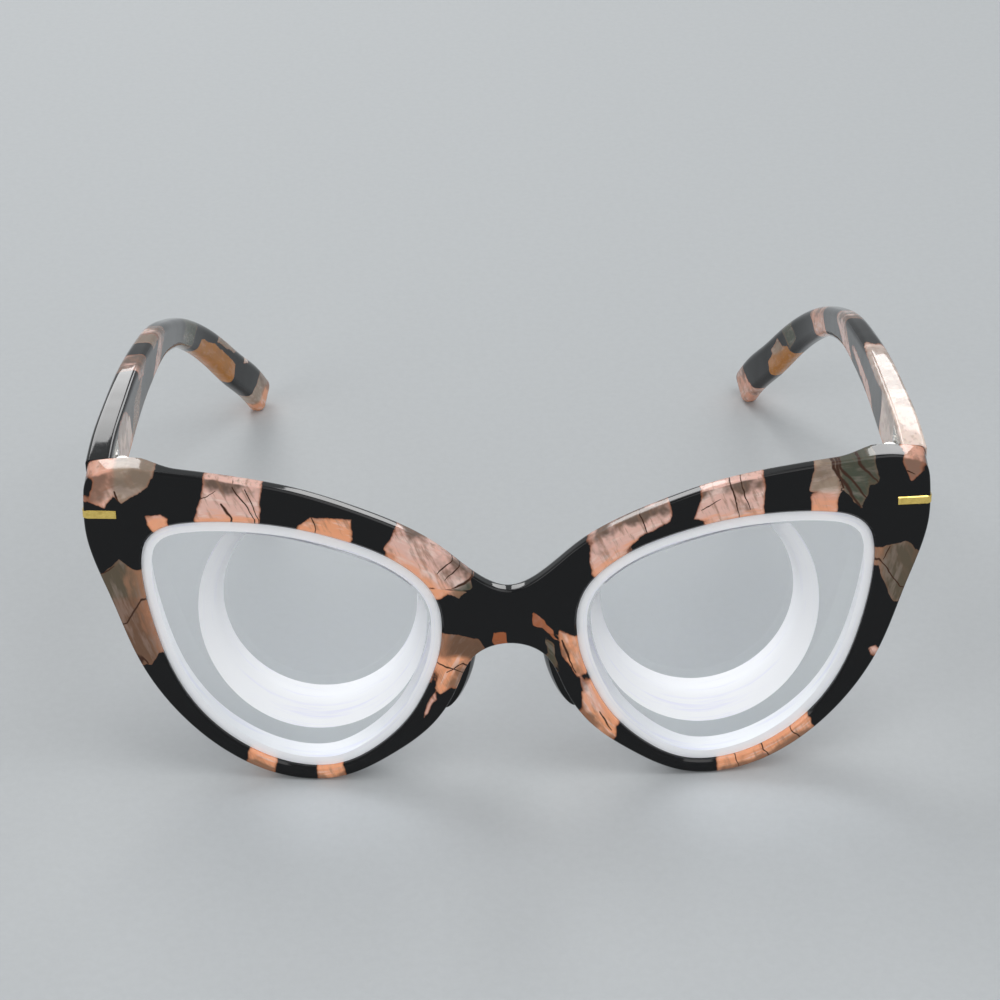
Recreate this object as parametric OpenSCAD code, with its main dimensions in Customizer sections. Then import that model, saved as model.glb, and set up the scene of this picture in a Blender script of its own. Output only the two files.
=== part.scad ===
// Cat-eye spectacles with very strong myodisc lenses, standing open on the rim bottoms and temple tips.
// X runs across the face, +Y runs back to the ears, +Z is up, and the floor is at Z = 0.

/* [Front] */
// Width of each lens opening
lens_w = 50.8; // [46:0.1:56]
// Height of each lens opening
lens_h = 47; // [42:0.1:52]
// Gap between the two lens openings
bridge_w = 23; // [19:0.1:27]
// Width of the rim under the lens
rim_w = 2.7; // [2.2:0.1:4]
// Height of the bridge's upper edge above the lowest rim point
bridge_top = 37.5; // [35:0.1:39]
// Height of the bridge's arch above the lowest rim point
bridge_arch = 27.3; // [25:0.1:29]
// Thickness of the front, from its face to its back
front_t = 3.8; // [3.4:0.1:5]
// Radius of the outer edge at the front's face
face_r = 0.45; // [0.3:0.05:0.8]
// Radius of the outer edge at the front's back
back_r = 1.9; // [1:0.1:2.2]
// Bevel of the edges at the lens opening
lip_bevel = 0.35; // [0.2:0.05:0.5]
// Angle at which the front leans back
front_lean = 5; // [2:0.5:7]
// Angle at which each side of the front wraps back
wrap_angle = 4; // [2:0.5:6]
// Half width over which the wrap bends
wrap_bend = 10; // [6:1:14]

/* [Lenses] */
// Depth of the groove that holds the lens
groove_d = 0.9; // [0.6:0.1:1.2]
// Half width of the groove at its mouth
groove_half_w = 0.95; // [0.7:0.05:1.2]
// Distance of the groove behind the front's face
groove_at = 1.9; // [1.7:0.1:2.2]
// Clearance between lens and rim
lens_clear = 0.06; // [0.03:0.01:0.12]
// Distance of the lens face behind the front's face
lens_set = 0.5; // [0.3:0.1:0.8]
// Thickness of the lens at its edge
lens_edge_t = 8; // [7:0.1:9]
// Width of the ground chamfer round the lens face
face_chamfer = 1.8; // [1.2:0.1:2.2]
// Width of the ground chamfer round the lens back
back_chamfer = 2; // [1.5:0.1:3]
// Distance of the bowl's middle from the lens opening's nasal side
bowl_in = 22; // [21:0.1:23]
// Height of the bowl's middle above the lens opening's lowest point
bowl_up = 29.7; // [28:0.1:31]
// Half width of the bowl's mouth
bowl_half_w = 19.6; // [17:0.1:20]
// Half height of the bowl's mouth
bowl_half_h = 22.1; // [19:0.1:23]
// Half width of the bowl's clear floor
floor_half_w = 16.7; // [14:0.1:18]
// Half height of the bowl's clear floor
floor_half_h = 17.3; // [14:0.1:19]
// Distance of the floor's middle towards the nose from the mouth's middle
floor_in = 1.1; // [0:0.1:1.5]
// Distance of the floor's middle above the mouth's middle
floor_up = 0.9; // [0:0.1:1.5]
// Depth of the bevel round the bowl's mouth
mouth_bevel = 1.4; // [0.4:0.1:2]
// Thickness of the lens at the bowl's centre
lens_centre_t = 1.4; // [1:0.1:2.5]
// Hollow of the lens back
back_hollow = 0.9; // [0.4:0.1:1.4]

/* [Temples] */
// Depth of the end piece behind the front's face, at the hinge
end_t = 5.2; // [4.6:0.1:6]
// Reach of the temple from the hinge to its tip, along Y
temple_reach = 129; // [115:1:140]
// Thickness of the temple at the hinge
temple_t = 4.4; // [3.6:0.1:5]
// Thickness of the temple at its tip
tip_t = 3.6; // [3:0.1:4.4]
// Height of the temple at the hinge
temple_h = 11.2; // [9:0.1:12.5]
// Height of the temple where it bends
bend_h = 5.8; // [5:0.1:7]
// Height of the temple's tip
tip_h = 7.4; // [6:0.1:9]
// Distance that the temple tip turns inwards
tip_turn = 16.8; // [12:0.1:20]
// Gap between the closed faces of temple and end piece
butt_gap = 0.12; // [0.08:0.01:0.25]
// Radius of the wire in the temple
core_r = 0.7; // [0.5:0.05:0.8]
// Clearance between the wire and its channel
core_clear = 0.05; // [0.03:0.01:0.08]

/* [Hinges] */
// Radius of the hinge barrel
barrel_r = 1.25; // [1.1:0.05:1.4]
// Height of one knuckle
knuckle_h = 1.55; // [1.3:0.05:1.7]
// Gap between neighbouring knuckles
knuckle_gap = 0.05; // [0.03:0.01:0.1]
// Radius of the hinge screw
screw_r = 0.65; // [0.5:0.05:0.75]
// Radial clearance of the screw in the knuckles
screw_clear = 0.04; // [0.02:0.01:0.08]
// Height of the screw's head
screw_head_h = 0.5; // [0.4:0.05:0.7]
// Distance of the hinge axis behind the end piece
axis_back = 2.4; // [2.1:0.1:2.8]
// Clearance between the barrel and the temple's inner face
barrel_clear = 0.3; // [0.2:0.05:0.5]
// Thickness of the hinge plates
plate_t = 0.8; // [0.6:0.05:1]
// Length of the plate on the end piece
front_plate_l = 5.6; // [5:0.1:6]
// Length of the plate on the temple
temple_plate_l = 9; // [8:0.1:11]
// Radius of the rivets
rivet_r = 0.5; // [0.4:0.05:0.6]
// Depth of the rivets under the plates
rivet_d = 1.8; // [1.4:0.1:2.2]
// Clearance of plates and rivets in the acetate
seat_clear = 0.03; // [0.02:0.01:0.06]

/* [Trim and pads] */
// Height of the gold corner bar
trim_h = 1.9; // [1.3:0.1:2.2]
// Length of the bar across the front
trim_front_l = 5.6; // [4.5:0.1:7]
// Distance of the bar's side leg before the end piece's closing face
trim_end_gap = 0.5; // [0.3:0.1:2]
// Thickness of the bar
trim_t = 0.9; // [0.7:0.05:1.1]
// Distance that the bar stands proud
trim_proud = 0.2; // [0.1:0.05:0.3]
// Distance of the bar under the end piece's top
trim_drop = 8.5; // [7.5:0.1:10]
// Length of a nose pad along the rim
pad_l = 14; // [11:0.5:16]
// Width of a nose pad
pad_w = 4.2; // [3.6:0.1:4.8]
// Depth of a nose pad behind the front
pad_d = 4; // [3:0.1:5]
// Distance of a nose pad's middle from the lens opening, towards the nose
pad_in = 2.1; // [1.8:0.1:2.5]
// Height of a nose pad's middle above the lowest rim point
pad_up = 19.6; // [18:0.1:21]

/* [Hidden] */

// Points taken between two neighbouring control points of an outline
steps = 4;
// Size at which the outline's control points are drawn
drawn_w = 50.8;
drawn_h = 47;
drawn_rim = 2.7;
// Control points of one half, from the bridge over the top to the temple side and back under the lens.
// Each row holds a point of the lens opening, from its lower nasal corner, and the rim's reach from it.
outline = [
    [[5.3, 38.4], [-11.2, -1.1]],
    [[9.1, 40.9], [-8.9, 1.5]],
    [[17.2, 44.1], [-4.1, 4.9]],
    [[25.5, 46.1], [-1.6, 6.5]],
    [[34.8, 47.0], [0.7, 7.8]],
    [[43.0, 46.7], [5.1, 9.7]],
    [[47.2, 45.6], [8.3, 10.9]],
    [[49.7, 43.4], [9.1, 11.6]],
    [[50.7, 40.4], [9.2, 10.5]],
    [[50.8, 36.0], [9.1, 8.5]],
    [[49.4, 27.2], [7.1, 5.4]],
    [[46.4, 17.6], [5.7, 2.3]],
    [[41.5, 9.6], [3.8, -0.3]],
    [[34.5, 3.6], [2.2, -1.8]],
    [[26.3, 0.3], [0.9, -2.4]],
    [[18.5, 0.4], [-0.3, -2.3]],
    [[11.3, 4.4], [-1.8, -1.9]],
    [[6.0, 10.0], [-4.1, -1.1]],
    [[2.4, 16.8], [-4.6, -1.1]],
    [[0.5, 22.7], [-6.2, -0.3]],
];
// Points of the lens opening that face the bridge's middle, from the arch to the upper edge
bridge_side = [[0.0, 26.9], [0.2, 30.6], [2.0, 35.0]];

rim_rows = len(outline);
wrap_slope = tan(wrap_angle);
function wrap_y(u) = abs(u) < wrap_bend
    ? wrap_slope * u * u / (2 * wrap_bend)
    : wrap_slope * (abs(u) - wrap_bend / 2);

// Point of the lens opening in the front's own plane
function lens_point(p) = [bridge_w / 2 + p[0] * lens_w / drawn_w, rim_w + p[1] * lens_h / drawn_h];

// Smooth curve through p1 and p2, with p0 and p3 before and after them
function curve_point(p0, p1, p2, p3, t) =
    0.5 * (2 * p1 + (p2 - p0) * t + (2 * p0 - 5 * p1 + 4 * p2 - p3) * t * t
    + (3 * p1 - p0 - 3 * p2 + p3) * t * t * t);
function closed_curve(P) = let (n = len(P))
    [for (i = [0 : n - 1], k = [0 : steps - 1])
        curve_point(P[(i + n - 1) % n], P[i], P[(i + 1) % n], P[(i + 2) % n], k / steps)];
// Open curve with an extra point before its start and after its end
function open_curve(P) = [for (i = [1 : len(P) - 3], k = [0 : i == len(P) - 3 ? steps : steps - 1])
    curve_point(P[i - 1], P[i], P[i + 1], P[i + 2], k / steps)];
function unit(v) = v / norm(v);
function left_of(v) = [-v[1], v[0]];

// The lens opening, and its outward direction at each point
opening = closed_curve(concat([lens_point(bridge_side[2])],
    [for (row = outline) lens_point(row[0])], [lens_point(bridge_side[0]), lens_point(bridge_side[1])]));
count = len(opening);
opening_out = [for (i = [0 : count - 1])
    unit(left_of(opening[(i + 1) % count] - opening[(i + count - 1) % count]))];

// The rim's outer edge from the bridge's upper middle round to the middle of its arch
rim_points = concat([[0, bridge_top]],
    [for (row = outline) lens_point(row[0]) + row[1] * rim_w / drawn_rim], [[0, bridge_arch]]);
mirror_u = [-1, 1];
function flipped(p) = [p[0] * mirror_u[0], p[1]];
rim_curve = open_curve(concat([flipped(rim_points[1])], rim_points, [flipped(rim_points[rim_rows])]));
rim_count = len(rim_curve);
function rim_at(i) = i < 0 ? flipped(rim_curve[-i])
    : i >= rim_count ? flipped(rim_curve[2 * rim_count - 2 - i]) : rim_curve[i];
// Past the arch, the edge runs up the mirror plane and has no rounding of its own
function edge_point(i) = i < rim_count ? rim_curve[i]
    : [0, bridge_arch + (bridge_top - bridge_arch) * (i - rim_count + 1) / (count - rim_count + 1)];
function edge_out(i) = i < rim_count ? unit(left_of(rim_at(i + 1) - rim_at(i - 1))) : [0, 0];

// Width of the whole front, and how far its side is from the middle
front_half_w = max([for (p = rim_curve) p[0]]);
front_top = max([for (p = rim_curve) p[1]]);

// Depth of the front's back, which swells towards the end piece so that the hinge has a flat seat
end_reach = 16;
end_swell = 9;
end_start = front_half_w - end_reach;
end_extra = 2.2;
swell_drop = 24;
swell_rise = 12;
function smooth(t) = let (c = min(1, max(0, t))) c * c * (3 - 2 * c);
function high(v) = smooth((v - front_top + swell_drop) / swell_rise);
function back_at(p) = front_t
    + (end_t - front_t + end_extra) * smooth((p[0] - end_start) / end_swell) * high(p[1]);

// Place in space of a point of the front: across, up the front and behind its face
function lean_y(u, v, w) = (w + wrap_y(u)) * cos(front_lean) + v * sin(front_lean);
function lean_z(u, v, w) = v * cos(front_lean) - (w + wrap_y(u)) * sin(front_lean);
// The back's outline is squarer than the face's at the end piece's corner
corner_in = [0.6, 0.1];
corner_at = [front_half_w, front_top] - corner_in;
corner_fill = 0.75;
corner_reach = 6;
function back_edge(e) = e + corner_fill * max(0, 1 - norm(e - corner_at) / corner_reach) * (corner_at - e);

// Cross-section of the rim at point i: across, up and depth
pad_foot = 1.7;
pad_share = 0.35;
round_share = 0.5;
arc_in = 1 - cos(45);
function rim_section(i) = let (
        a = opening[i], n = opening_out[i], e = edge_point(i), m = edge_out(i), g = back_edge(e),
        wide = norm(e - a), back = back_at(e), r = min(back_r, round_share * wide),
        lip = a + lip_bevel * n, seat = a + min(pad_foot, pad_share * wide) * n)
    [
        [lip, 0], [e - face_r * m, 0], [e - face_r * arc_in * m, face_r * arc_in], [e, face_r],
        [g, back - r], [g - r * (1 - cos(30)) * m, back - r * (1 - sin(30))],
        [g - r * (1 - cos(60)) * m, back - r * (1 - sin(60))], [g - r * m, back],
        [seat, back], [lip, front_t], [a, front_t - lip_bevel],
        [a, groove_at + groove_half_w], [a + groove_d * n, groove_at],
        [a, groove_at - groove_half_w], [a, lip_bevel]
    ];
section_count = 15;
// Section points that meet the mirror plane, from first to last
outer_first = 1;
outer_last = 7;
sections = [for (i = [0 : count - 1]) rim_section(i)];
front_lift = -min([for (r = sections, s = r) lean_z(s[0][0], s[0][1], s[1])]);
front_y0 = min([for (r = sections, s = r) lean_y(s[0][0], s[0][1], s[1])]);

// The hinge's place, worked out from the end piece, whose side, top and back stand past the temple
side_set = 0.5;
top_set = 0.4;
butt_set = 0.5;
temple_side = front_half_w - side_set;
temple_inner = temple_side - temple_t;
hinge_v = front_top - temple_h / 2 - top_set;
hinge_z = lean_z(temple_inner, hinge_v, end_t) + front_lift;
butt_y0 = lean_y(temple_inner, front_top, end_t) - butt_set;
axis_x = temple_inner - barrel_r - barrel_clear;

// Temple line from the hinge to the tip: how far back, how far in and how high, each as a share
temple_line = [[0, 0, 1], [0.07, 0, 1], [0.17, 0.03, 0.995], [0.29, 0.07, 0.98], [0.4, 0.12, 0.945],
    [0.5, 0.17, 0.895], [0.6, 0.22, 0.8], [0.69, 0.29, 0.69], [0.765, 0.42, 0.56], [0.83, 0.58, 0.41],
    [0.89, 0.745, 0.25], [0.945, 0.89, 0.115], [0.985, 0.985, 0]];
// Height and thickness of the temple along it
function temple_height(s) = s < 0.65
    ? temple_h + (bend_h - temple_h) * smooth(s / 0.65)
    : bend_h + (tip_h - bend_h) * smooth((s - 0.65) / 0.3);
function temple_thick(s) = temple_t + (tip_t - temple_t) * s;
// Point of the line for a tip centre at height tz, with Y counted from the butt plane
function along(q, tz) = [temple_side - temple_t / 2 - q[1] * tip_turn,
    butt_gap + q[0] * temple_reach, tz + (hinge_z - tz) * q[2]];
temple_ext = concat([2 * temple_line[0] - temple_line[1]], temple_line,
    [2 * temple_line[len(temple_line) - 1] - temple_line[len(temple_line) - 2]]);
temple_steps = 3;
temple_path = [for (i = [1 : len(temple_ext) - 3],
        k = [0 : i == len(temple_ext) - 3 ? temple_steps : temple_steps - 1])
    curve_point(temple_ext[i - 1], temple_ext[i], temple_ext[i + 1], temple_ext[i + 2], k / temple_steps)];
path_count = len(temple_path);
function path_dir(i, tz) = i <= 1 ? [0, 1, 0]
    : unit(along(temple_path[min(i + 1, path_count - 1)], tz) - along(temple_path[i - 1], tz));
// Rounded rectangle, h high and w thick, with corners of radius r
corner_angles = [0, 30, 60, 90];
function rounded(h, w, r) = [for (c = [0 : 3], a = corner_angles) let (
        sx = (c == 0 || c == 3) ? 1 : -1, sz = (c < 2) ? 1 : -1, t = a + c * 90)
    [sx * (w / 2 - r) + r * cos(t), sz * (h / 2 - r) + r * sin(t)]];
ring_size = 4 * len(corner_angles);
front_corner_r = 0.7;
tip_corner_r = 1.5;
function temple_ring(i, grow, push, tz) = let (
        f = temple_path[i][0], t = path_dir(i, tz), s = unit([t[1], -t[0], 0]), n = cross(s, t),
        r = front_corner_r + (tip_corner_r - front_corner_r) * smooth(f * 1.4))
    [for (p = rounded(temple_height(f) * grow, temple_thick(f) * grow, r * grow))
        along(temple_path[i], tz) + push * t + p[0] * s + p[1] * n];
// The tip closes with a round nose
nose_rows = [[0.93, 0.35], [0.72, 0.7], [0.38, 0.93]];
nose_len = 2.6;
function temple_rings(tz) = concat([for (i = [0 : path_count - 1]) temple_ring(i, 1, 0, tz)],
    [for (row = nose_rows) temple_ring(path_count - 1, row[0], row[1] * nose_len, tz)]);
// The tip's centre is as high as its underside needs to rest on the floor
tip_guess = -min([for (r = temple_rings(0), p = r) p[2]]);
tip_z = tip_guess - min([for (r = temple_rings(tip_guess), p = r) p[2]]);
rings_of_temple = temple_rings(tip_z);
temple_back = max([for (r = rings_of_temple, p = r) p[1]]);

// The origin is on the floor, midway between the front's nearest point and the temple tips
mid_y = (front_y0 + butt_y0 + temple_back) / 2;
function front_point(u, v, w) = [u, lean_y(u, v, w) - mid_y, lean_z(u, v, w) + front_lift];
butt_y = butt_y0 - mid_y;
axis_y = butt_y + axis_back;

// Faces of a skin over rings of equal size; the ends are capped, or joined to each other
function quad(a, b, c, d) = [[a, b, c], [a, c, d]];
function skin_faces(rings, size) = concat(
    [for (i = [0 : rings - 2], j = [0 : size - 1]) let (k = (j + 1) % size)
        each quad(i * size + j, i * size + k, (i + 1) * size + k, (i + 1) * size + j)],
    [[for (j = [size - 1 : -1 : 0]) j], [for (j = [0 : size - 1]) (rings - 1) * size + j]]);

// Both halves of the front as one skin, left open where they meet in the mirror plane
function half_faces(first, turned) = [for (i = [0 : count - 1], j = [0 : section_count - 1])
    let (i2 = (i + 1) % count, j2 = (j + 1) % section_count,
        flat = i >= rim_count - 1 && j >= outer_first && j < outer_last,
        a = first + i * section_count + j, b = first + i2 * section_count + j,
        c = first + i2 * section_count + j2, d = first + i * section_count + j2)
    if (!flat) each (turned ? quad(a, d, c, b) : quad(a, b, c, d))];
function half_points(side) = [for (r = sections, s = r)
    let (p = front_point(s[0][0], s[0][1], s[1])) [p[0] == 0 ? 0 : side * p[0], p[1], p[2]]];

module frame_skin() {
    polyhedron(concat(half_points(1), half_points(-1)),
        concat(half_faces(0, false), half_faces(count * section_count, true)));
}

module both_sides() {
    children();
    mirror([1, 0, 0]) children();
}

// Everything behind the hinge's butt plane is cut away, so that the temple closes on a flat face
cut_lead = 2;
cut_size = 28;
cut_depth = 20;
module butt_cut() {
    translate([end_start - cut_lead, butt_y, hinge_z - cut_size / 2]) cube([cut_size, cut_depth, cut_size]);
}

module frame_front() {
    color([0.1, 0.06, 0.05]) difference() {
        frame_skin();
        both_sides() {
            butt_cut();
            front_plate_block(seat_clear, plate_t + seat_clear);
            front_rivets(seat_clear, seat_clear);
            corner_bar(seat_clear);
        }
    }
}

// Hinge plate on the back of the end piece; a seat cut for it runs past the face that it opens on
past = 1;
leaf_h = 5 * knuckle_h + 4 * knuckle_gap;
plate_inner_x = axis_x + barrel_r - front_plate_l;
module front_plate_block(gap, depth) {
    translate([plate_inner_x - gap, butt_y - depth, hinge_z - leaf_h / 2 - gap])
        cube([front_plate_l + 2 * gap, depth + (gap > 0 ? past : 0), leaf_h + 2 * gap]);
}

rivet_inset = 1.6;
rivet_side = 1.3;
rivet_lip = 0.35;
rivet_z = leaf_h / 2 - rivet_inset;
front_rivet_x = plate_inner_x + rivet_side;
rivet_head_r = rivet_r + rivet_lip;
rivet_head_h = 0.25;
module front_rivets(gap, end_gap) {
    for (s = [-1, 1]) translate([front_rivet_x, butt_y, hinge_z + s * rivet_z]) rotate([90, 0, 0])
        cylinder(h = plate_t + rivet_d + end_gap, r = rivet_r + gap, $fn = 32);
}
module front_rivet_set() {
    color([0.75, 0.72, 0.66]) {
        front_rivets(0, 0);
        for (s = [-1, 1]) translate([front_rivet_x, butt_y, hinge_z + s * rivet_z]) rotate([-90, 0, 0])
            cylinder(h = rivet_head_h, r = rivet_head_r, $fn = 32);
    }
}

// One knuckle of the barrel, k counted from the bottom
knuckle_step = knuckle_h + knuckle_gap;
web_w = 1.7;
module knuckle(k) {
    translate([axis_x, axis_y, hinge_z - leaf_h / 2 + k * knuckle_step])
        cylinder(h = knuckle_h, r = barrel_r, $fn = 48);
}
module screw_bore() {
    translate([axis_x, axis_y, hinge_z - leaf_h])
        cylinder(h = 2 * leaf_h, r = screw_r + screw_clear, $fn = 48);
}
module front_leaf() {
    color([0.72, 0.7, 0.66]) difference() {
        union() {
            front_plate_block(0, plate_t);
            for (k = [0, 2, 4]) {
                knuckle(k);
                translate([axis_x - web_w / 2, butt_y - plate_t / 2, hinge_z - leaf_h / 2 + k * knuckle_step])
                    cube([web_w, axis_back + plate_t / 2, knuckle_h]);
            }
        }
        screw_bore();
        front_rivets(seat_clear, past);
    }
}

// Hinge plate let into the temple's inner face, from a little before the hinge's axis
plate_lead = 1.1;
rivet_end = 2.4;
temple_plate_y = axis_y - plate_lead;
module temple_plate_block(gap) {
    over = gap > 0 ? past : 0;
    translate([temple_inner - over, temple_plate_y - gap, hinge_z - leaf_h / 2 - gap])
        cube([plate_t + gap + over, temple_plate_l + 2 * gap, leaf_h + 2 * gap]);
}
temple_rivet_y = temple_plate_y + temple_plate_l - rivet_end;
module temple_rivets(gap, end_gap) {
    for (s = [-1, 1]) translate([temple_inner, temple_rivet_y, hinge_z + s * rivet_z]) rotate([0, 90, 0])
        cylinder(h = plate_t + rivet_d + end_gap, r = rivet_r + gap, $fn = 32);
}
module temple_rivet_set() {
    color([0.75, 0.72, 0.66]) {
        temple_rivets(0, 0);
        for (s = [-1, 1]) translate([temple_inner, temple_rivet_y, hinge_z + s * rivet_z])
            rotate([0, -90, 0]) cylinder(h = rivet_head_h, r = rivet_head_r, $fn = 32);
    }
}
module temple_leaf() {
    color([0.72, 0.7, 0.66]) difference() {
        union() {
            temple_plate_block(0);
            for (k = [1, 3]) {
                knuckle(k);
                translate([axis_x, axis_y - web_w / 2, hinge_z - leaf_h / 2 + k * knuckle_step])
                    cube([temple_inner + plate_t / 2 - axis_x, web_w, knuckle_h]);
            }
        }
        screw_bore();
        temple_rivets(seat_clear, past);
    }
}

// Hinge screw with a slotted head that sits on the top knuckle
slot_w = 0.3;
head_set = 0.1;
module hinge_screw() {
    color([0.8, 0.78, 0.72]) difference() {
        translate([axis_x, axis_y, hinge_z - leaf_h / 2]) union() {
            cylinder(h = leaf_h + screw_head_h / 2, r = screw_r, $fn = 48);
            translate([0, 0, leaf_h]) cylinder(h = screw_head_h, r = barrel_r - head_set, $fn = 48);
        }
        translate([axis_x - barrel_r, axis_y - slot_w / 2, hinge_z + leaf_h / 2 + screw_head_h / 2])
            cube([2 * barrel_r, slot_w, screw_head_h]);
    }
}

// Gold bar that wraps the end piece's corner: an L seen from above, standing in the front's own lean
trim_v = front_top - trim_drop;
trim_band = 3;
trim_u = max([for (p = rim_curve) if (abs(p[1] - trim_v) < trim_band) p[0]]);
trim_side_l = (butt_y0 - trim_v * sin(front_lean)) / cos(front_lean) - wrap_y(trim_u) - trim_end_gap;
trim_corner_r = 1;
trim_arc = [0 : 15 : 90];
// The front leg follows the wrap of the front's face, and the side leg runs straight back
function follow_wrap(p) = [p[0], p[1] + p[0] * wrap_slope];
function bar_points(gap) = let (
        o = trim_proud, r = trim_corner_r, inner = trim_t + gap - trim_proud,
        round = [for (a = trim_arc) [o - r + r * sin(a), r - o - r * cos(a)]],
        front_end = -trim_front_l - gap, side_end = trim_side_l + gap)
    [for (p = concat([[front_end, -o]], round, [[o, side_end], [-inner, side_end], [-inner, inner],
        [front_end, inner]])) follow_wrap(p)];
module corner_bar(gap) {
    translate([0, -mid_y, front_lift]) rotate([-front_lean, 0, 0])
        translate([trim_u, wrap_y(trim_u), trim_v - trim_h / 2 - gap])
        linear_extrude(trim_h + 2 * gap) polygon(bar_points(gap));
}
module corner_trim() {
    color([0.85, 0.68, 0.3]) corner_bar(0);
}

// Lens rings, from the middle of the bowl's floor over the mouth and edge to the middle of the back
bowl_c = [bridge_w / 2 + bowl_in, rim_w + bowl_up];
floor_shift = [-floor_in, floor_up];
floor_c = bowl_c + floor_shift;
function ellipse_r(a, b, d) = 1 / sqrt(pow(d[0] / a, 2) + pow(d[1] / b, 2));
lens_out = groove_d - lens_clear;
lens_front = lens_set;
lens_back = lens_set + lens_edge_t;
bowl_floor_w = lens_back - back_hollow - lens_centre_t;
bowl_margin = 0.4;
wall_margin = 1.2;
floor_sag = 0.5;
floor_lip = 1;
face_land = 0.5;
lip_share = 0.15;
bevel_share = 0.36;
// Each row: place of the ring and its depth; places are worked out by ring_point
lens_rings = [
    ["floor", 0.5, bowl_floor_w - floor_sag / 4],
    ["floor", 1.0, bowl_floor_w - floor_sag],
    ["wall", lip_share, bowl_floor_w - floor_sag - floor_lip],
    ["wall", 1 - bevel_share, lens_front + mouth_bevel],
    ["wall", 1.0, lens_front],
    ["rim", -face_chamfer, lens_front],
    ["rim", -lens_clear, lens_front + face_land],
    ["rim", -lens_clear, groove_at - groove_half_w],
    ["rim", lens_out, groove_at],
    ["rim", -lens_clear, groove_at + groove_half_w],
    ["rim", -lens_clear, lens_back - back_chamfer],
    ["rim", -back_chamfer, lens_back],
    ["back", 0.55, lens_back - back_hollow * 0.7],
];
function ring_point(i, kind, s) = let (
        a = opening[i], n = opening_out[i],
        edge = a - face_chamfer * n, d = unit(edge - bowl_c),
        mouth = min(ellipse_r(bowl_half_w, bowl_half_h, d), norm(edge - bowl_c) - bowl_margin),
        floor_r = min(ellipse_r(floor_half_w, floor_half_h, d), mouth - wall_margin - floor_shift * d),
        floor_edge = floor_c + d * floor_r)
    kind == "rim" ? a + s * n
    : kind == "floor" ? floor_c + d * floor_r * s
    : kind == "back" ? bowl_c + (a - back_chamfer * n - bowl_c) * s
    : floor_edge + (bowl_c + d * mouth - floor_edge) * s;
module lens() {
    rings = len(lens_rings);
    pts = [for (r = lens_rings, i = [0 : count - 1]) let (p = ring_point(i, r[0], r[1]))
        front_point(p[0], p[1], r[2])];
    floor_mid = front_point(floor_c[0], floor_c[1], bowl_floor_w);
    back_mid = front_point(bowl_c[0], bowl_c[1], lens_back - back_hollow);
    last = (rings - 1) * count;
    faces = concat(
        [for (r = [0 : rings - 2], i = [0 : count - 1]) let (k = (i + 1) % count)
            each quad(r * count + i, (r + 1) * count + i, (r + 1) * count + k, r * count + k)],
        [for (i = [0 : count - 1]) let (k = (i + 1) % count) [rings * count, i, k]],
        [for (i = [0 : count - 1]) let (k = (i + 1) % count) [rings * count + 1, last + k, last + i]]);
    color([0.85, 0.88, 0.92, 0.5]) polyhedron(concat(pts, [floor_mid, back_mid]), faces);
}

// Nose pad on the back of the nasal rim, a rounded drop that leans towards the nose
pad_centre = [bridge_w / 2 - pad_in, pad_up];
pad_tilt = 17;
pad_lean = 1.6;
pad_rows = [[1, 0], [1.02, 0.3], [0.94, 0.62], [0.72, 0.86], [0.4, 1]];
pad_sides = 20;
module nose_pad() {
    rings = len(pad_rows);
    pts = [for (row = pad_rows, j = [0 : pad_sides - 1]) let (
            t = 360 * j / pad_sides, x = row[0] * pad_w / 2 * cos(t), z = row[0] * pad_l / 2 * sin(t),
            u = pad_centre[0] + x * cos(pad_tilt) - z * sin(pad_tilt) - pad_lean * row[1],
            v = pad_centre[1] + x * sin(pad_tilt) + z * cos(pad_tilt))
        front_point(u, v, front_t + seat_clear + pad_d * row[1])];
    color([0.5, 0.3, 0.25]) polyhedron(pts, skin_faces(rings, pad_sides));
}

module temple_skin() {
    translate([0, butt_y, 0])
        polyhedron([for (r = rings_of_temple, p = r) p], skin_faces(len(rings_of_temple), ring_size));
}

// Wire in the temple, on the temple's own line, ending short of the tip
core_sides = 8;
core_end = path_count - 5;
core_skip = 2;
function core_ring(i, r, push) = let (t = path_dir(i, tip_z), s = unit([t[1], -t[0], 0]), n = cross(s, t))
    [for (j = [0 : core_sides - 1]) let (a = 360 * (j + 0.5) / core_sides)
        along(temple_path[i], tip_z) + push * t + r * cos(a) * s + r * sin(a) * n];
module core_wire(r, push) {
    at = [for (i = [0 : core_skip : core_end]) i];
    rings = [for (k = [0 : len(at) - 1])
        core_ring(at[k], r, k == 0 ? -push : k == len(at) - 1 ? core_clear * push : 0)];
    translate([0, butt_y, 0])
        polyhedron([for (g = rings, p = g) p], skin_faces(len(rings), core_sides));
}

module temple() {
    color([0.14, 0.08, 0.06]) difference() {
        temple_skin();
        core_wire(core_r + core_clear, 1);
        temple_plate_block(seat_clear);
        temple_rivets(seat_clear, seat_clear);
    }
}

module temple_core() {
    color([0.7, 0.7, 0.7]) core_wire(core_r, 0);
}

module right() {
    mirror([1, 0, 0]) children();
}

frame_front();
lens();  // lens_left
right() lens();  // lens_right
nose_pad();  // nose_pad_left
right() nose_pad();  // nose_pad_right
corner_trim();  // corner_trim_left
right() corner_trim();  // corner_trim_right
front_leaf();  // front_hinge_left
right() front_leaf();  // front_hinge_right
temple_leaf();  // temple_hinge_left
right() temple_leaf();  // temple_hinge_right
hinge_screw();  // hinge_screw_left
right() hinge_screw();  // hinge_screw_right
front_rivet_set();  // front_hinge_rivets_left
right() front_rivet_set();  // front_hinge_rivets_right
temple_rivet_set();  // temple_hinge_rivets_left
right() temple_rivet_set();  // temple_hinge_rivets_right
temple();  // temple_left
right() temple();  // temple_right
temple_core();  // temple_core_left
right() temple_core();  // temple_core_right
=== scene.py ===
import logging
import math
from dataclasses import dataclass, field
from enum import Enum

import bpy
import numpy as np
from mathutils import Matrix, Vector


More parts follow.
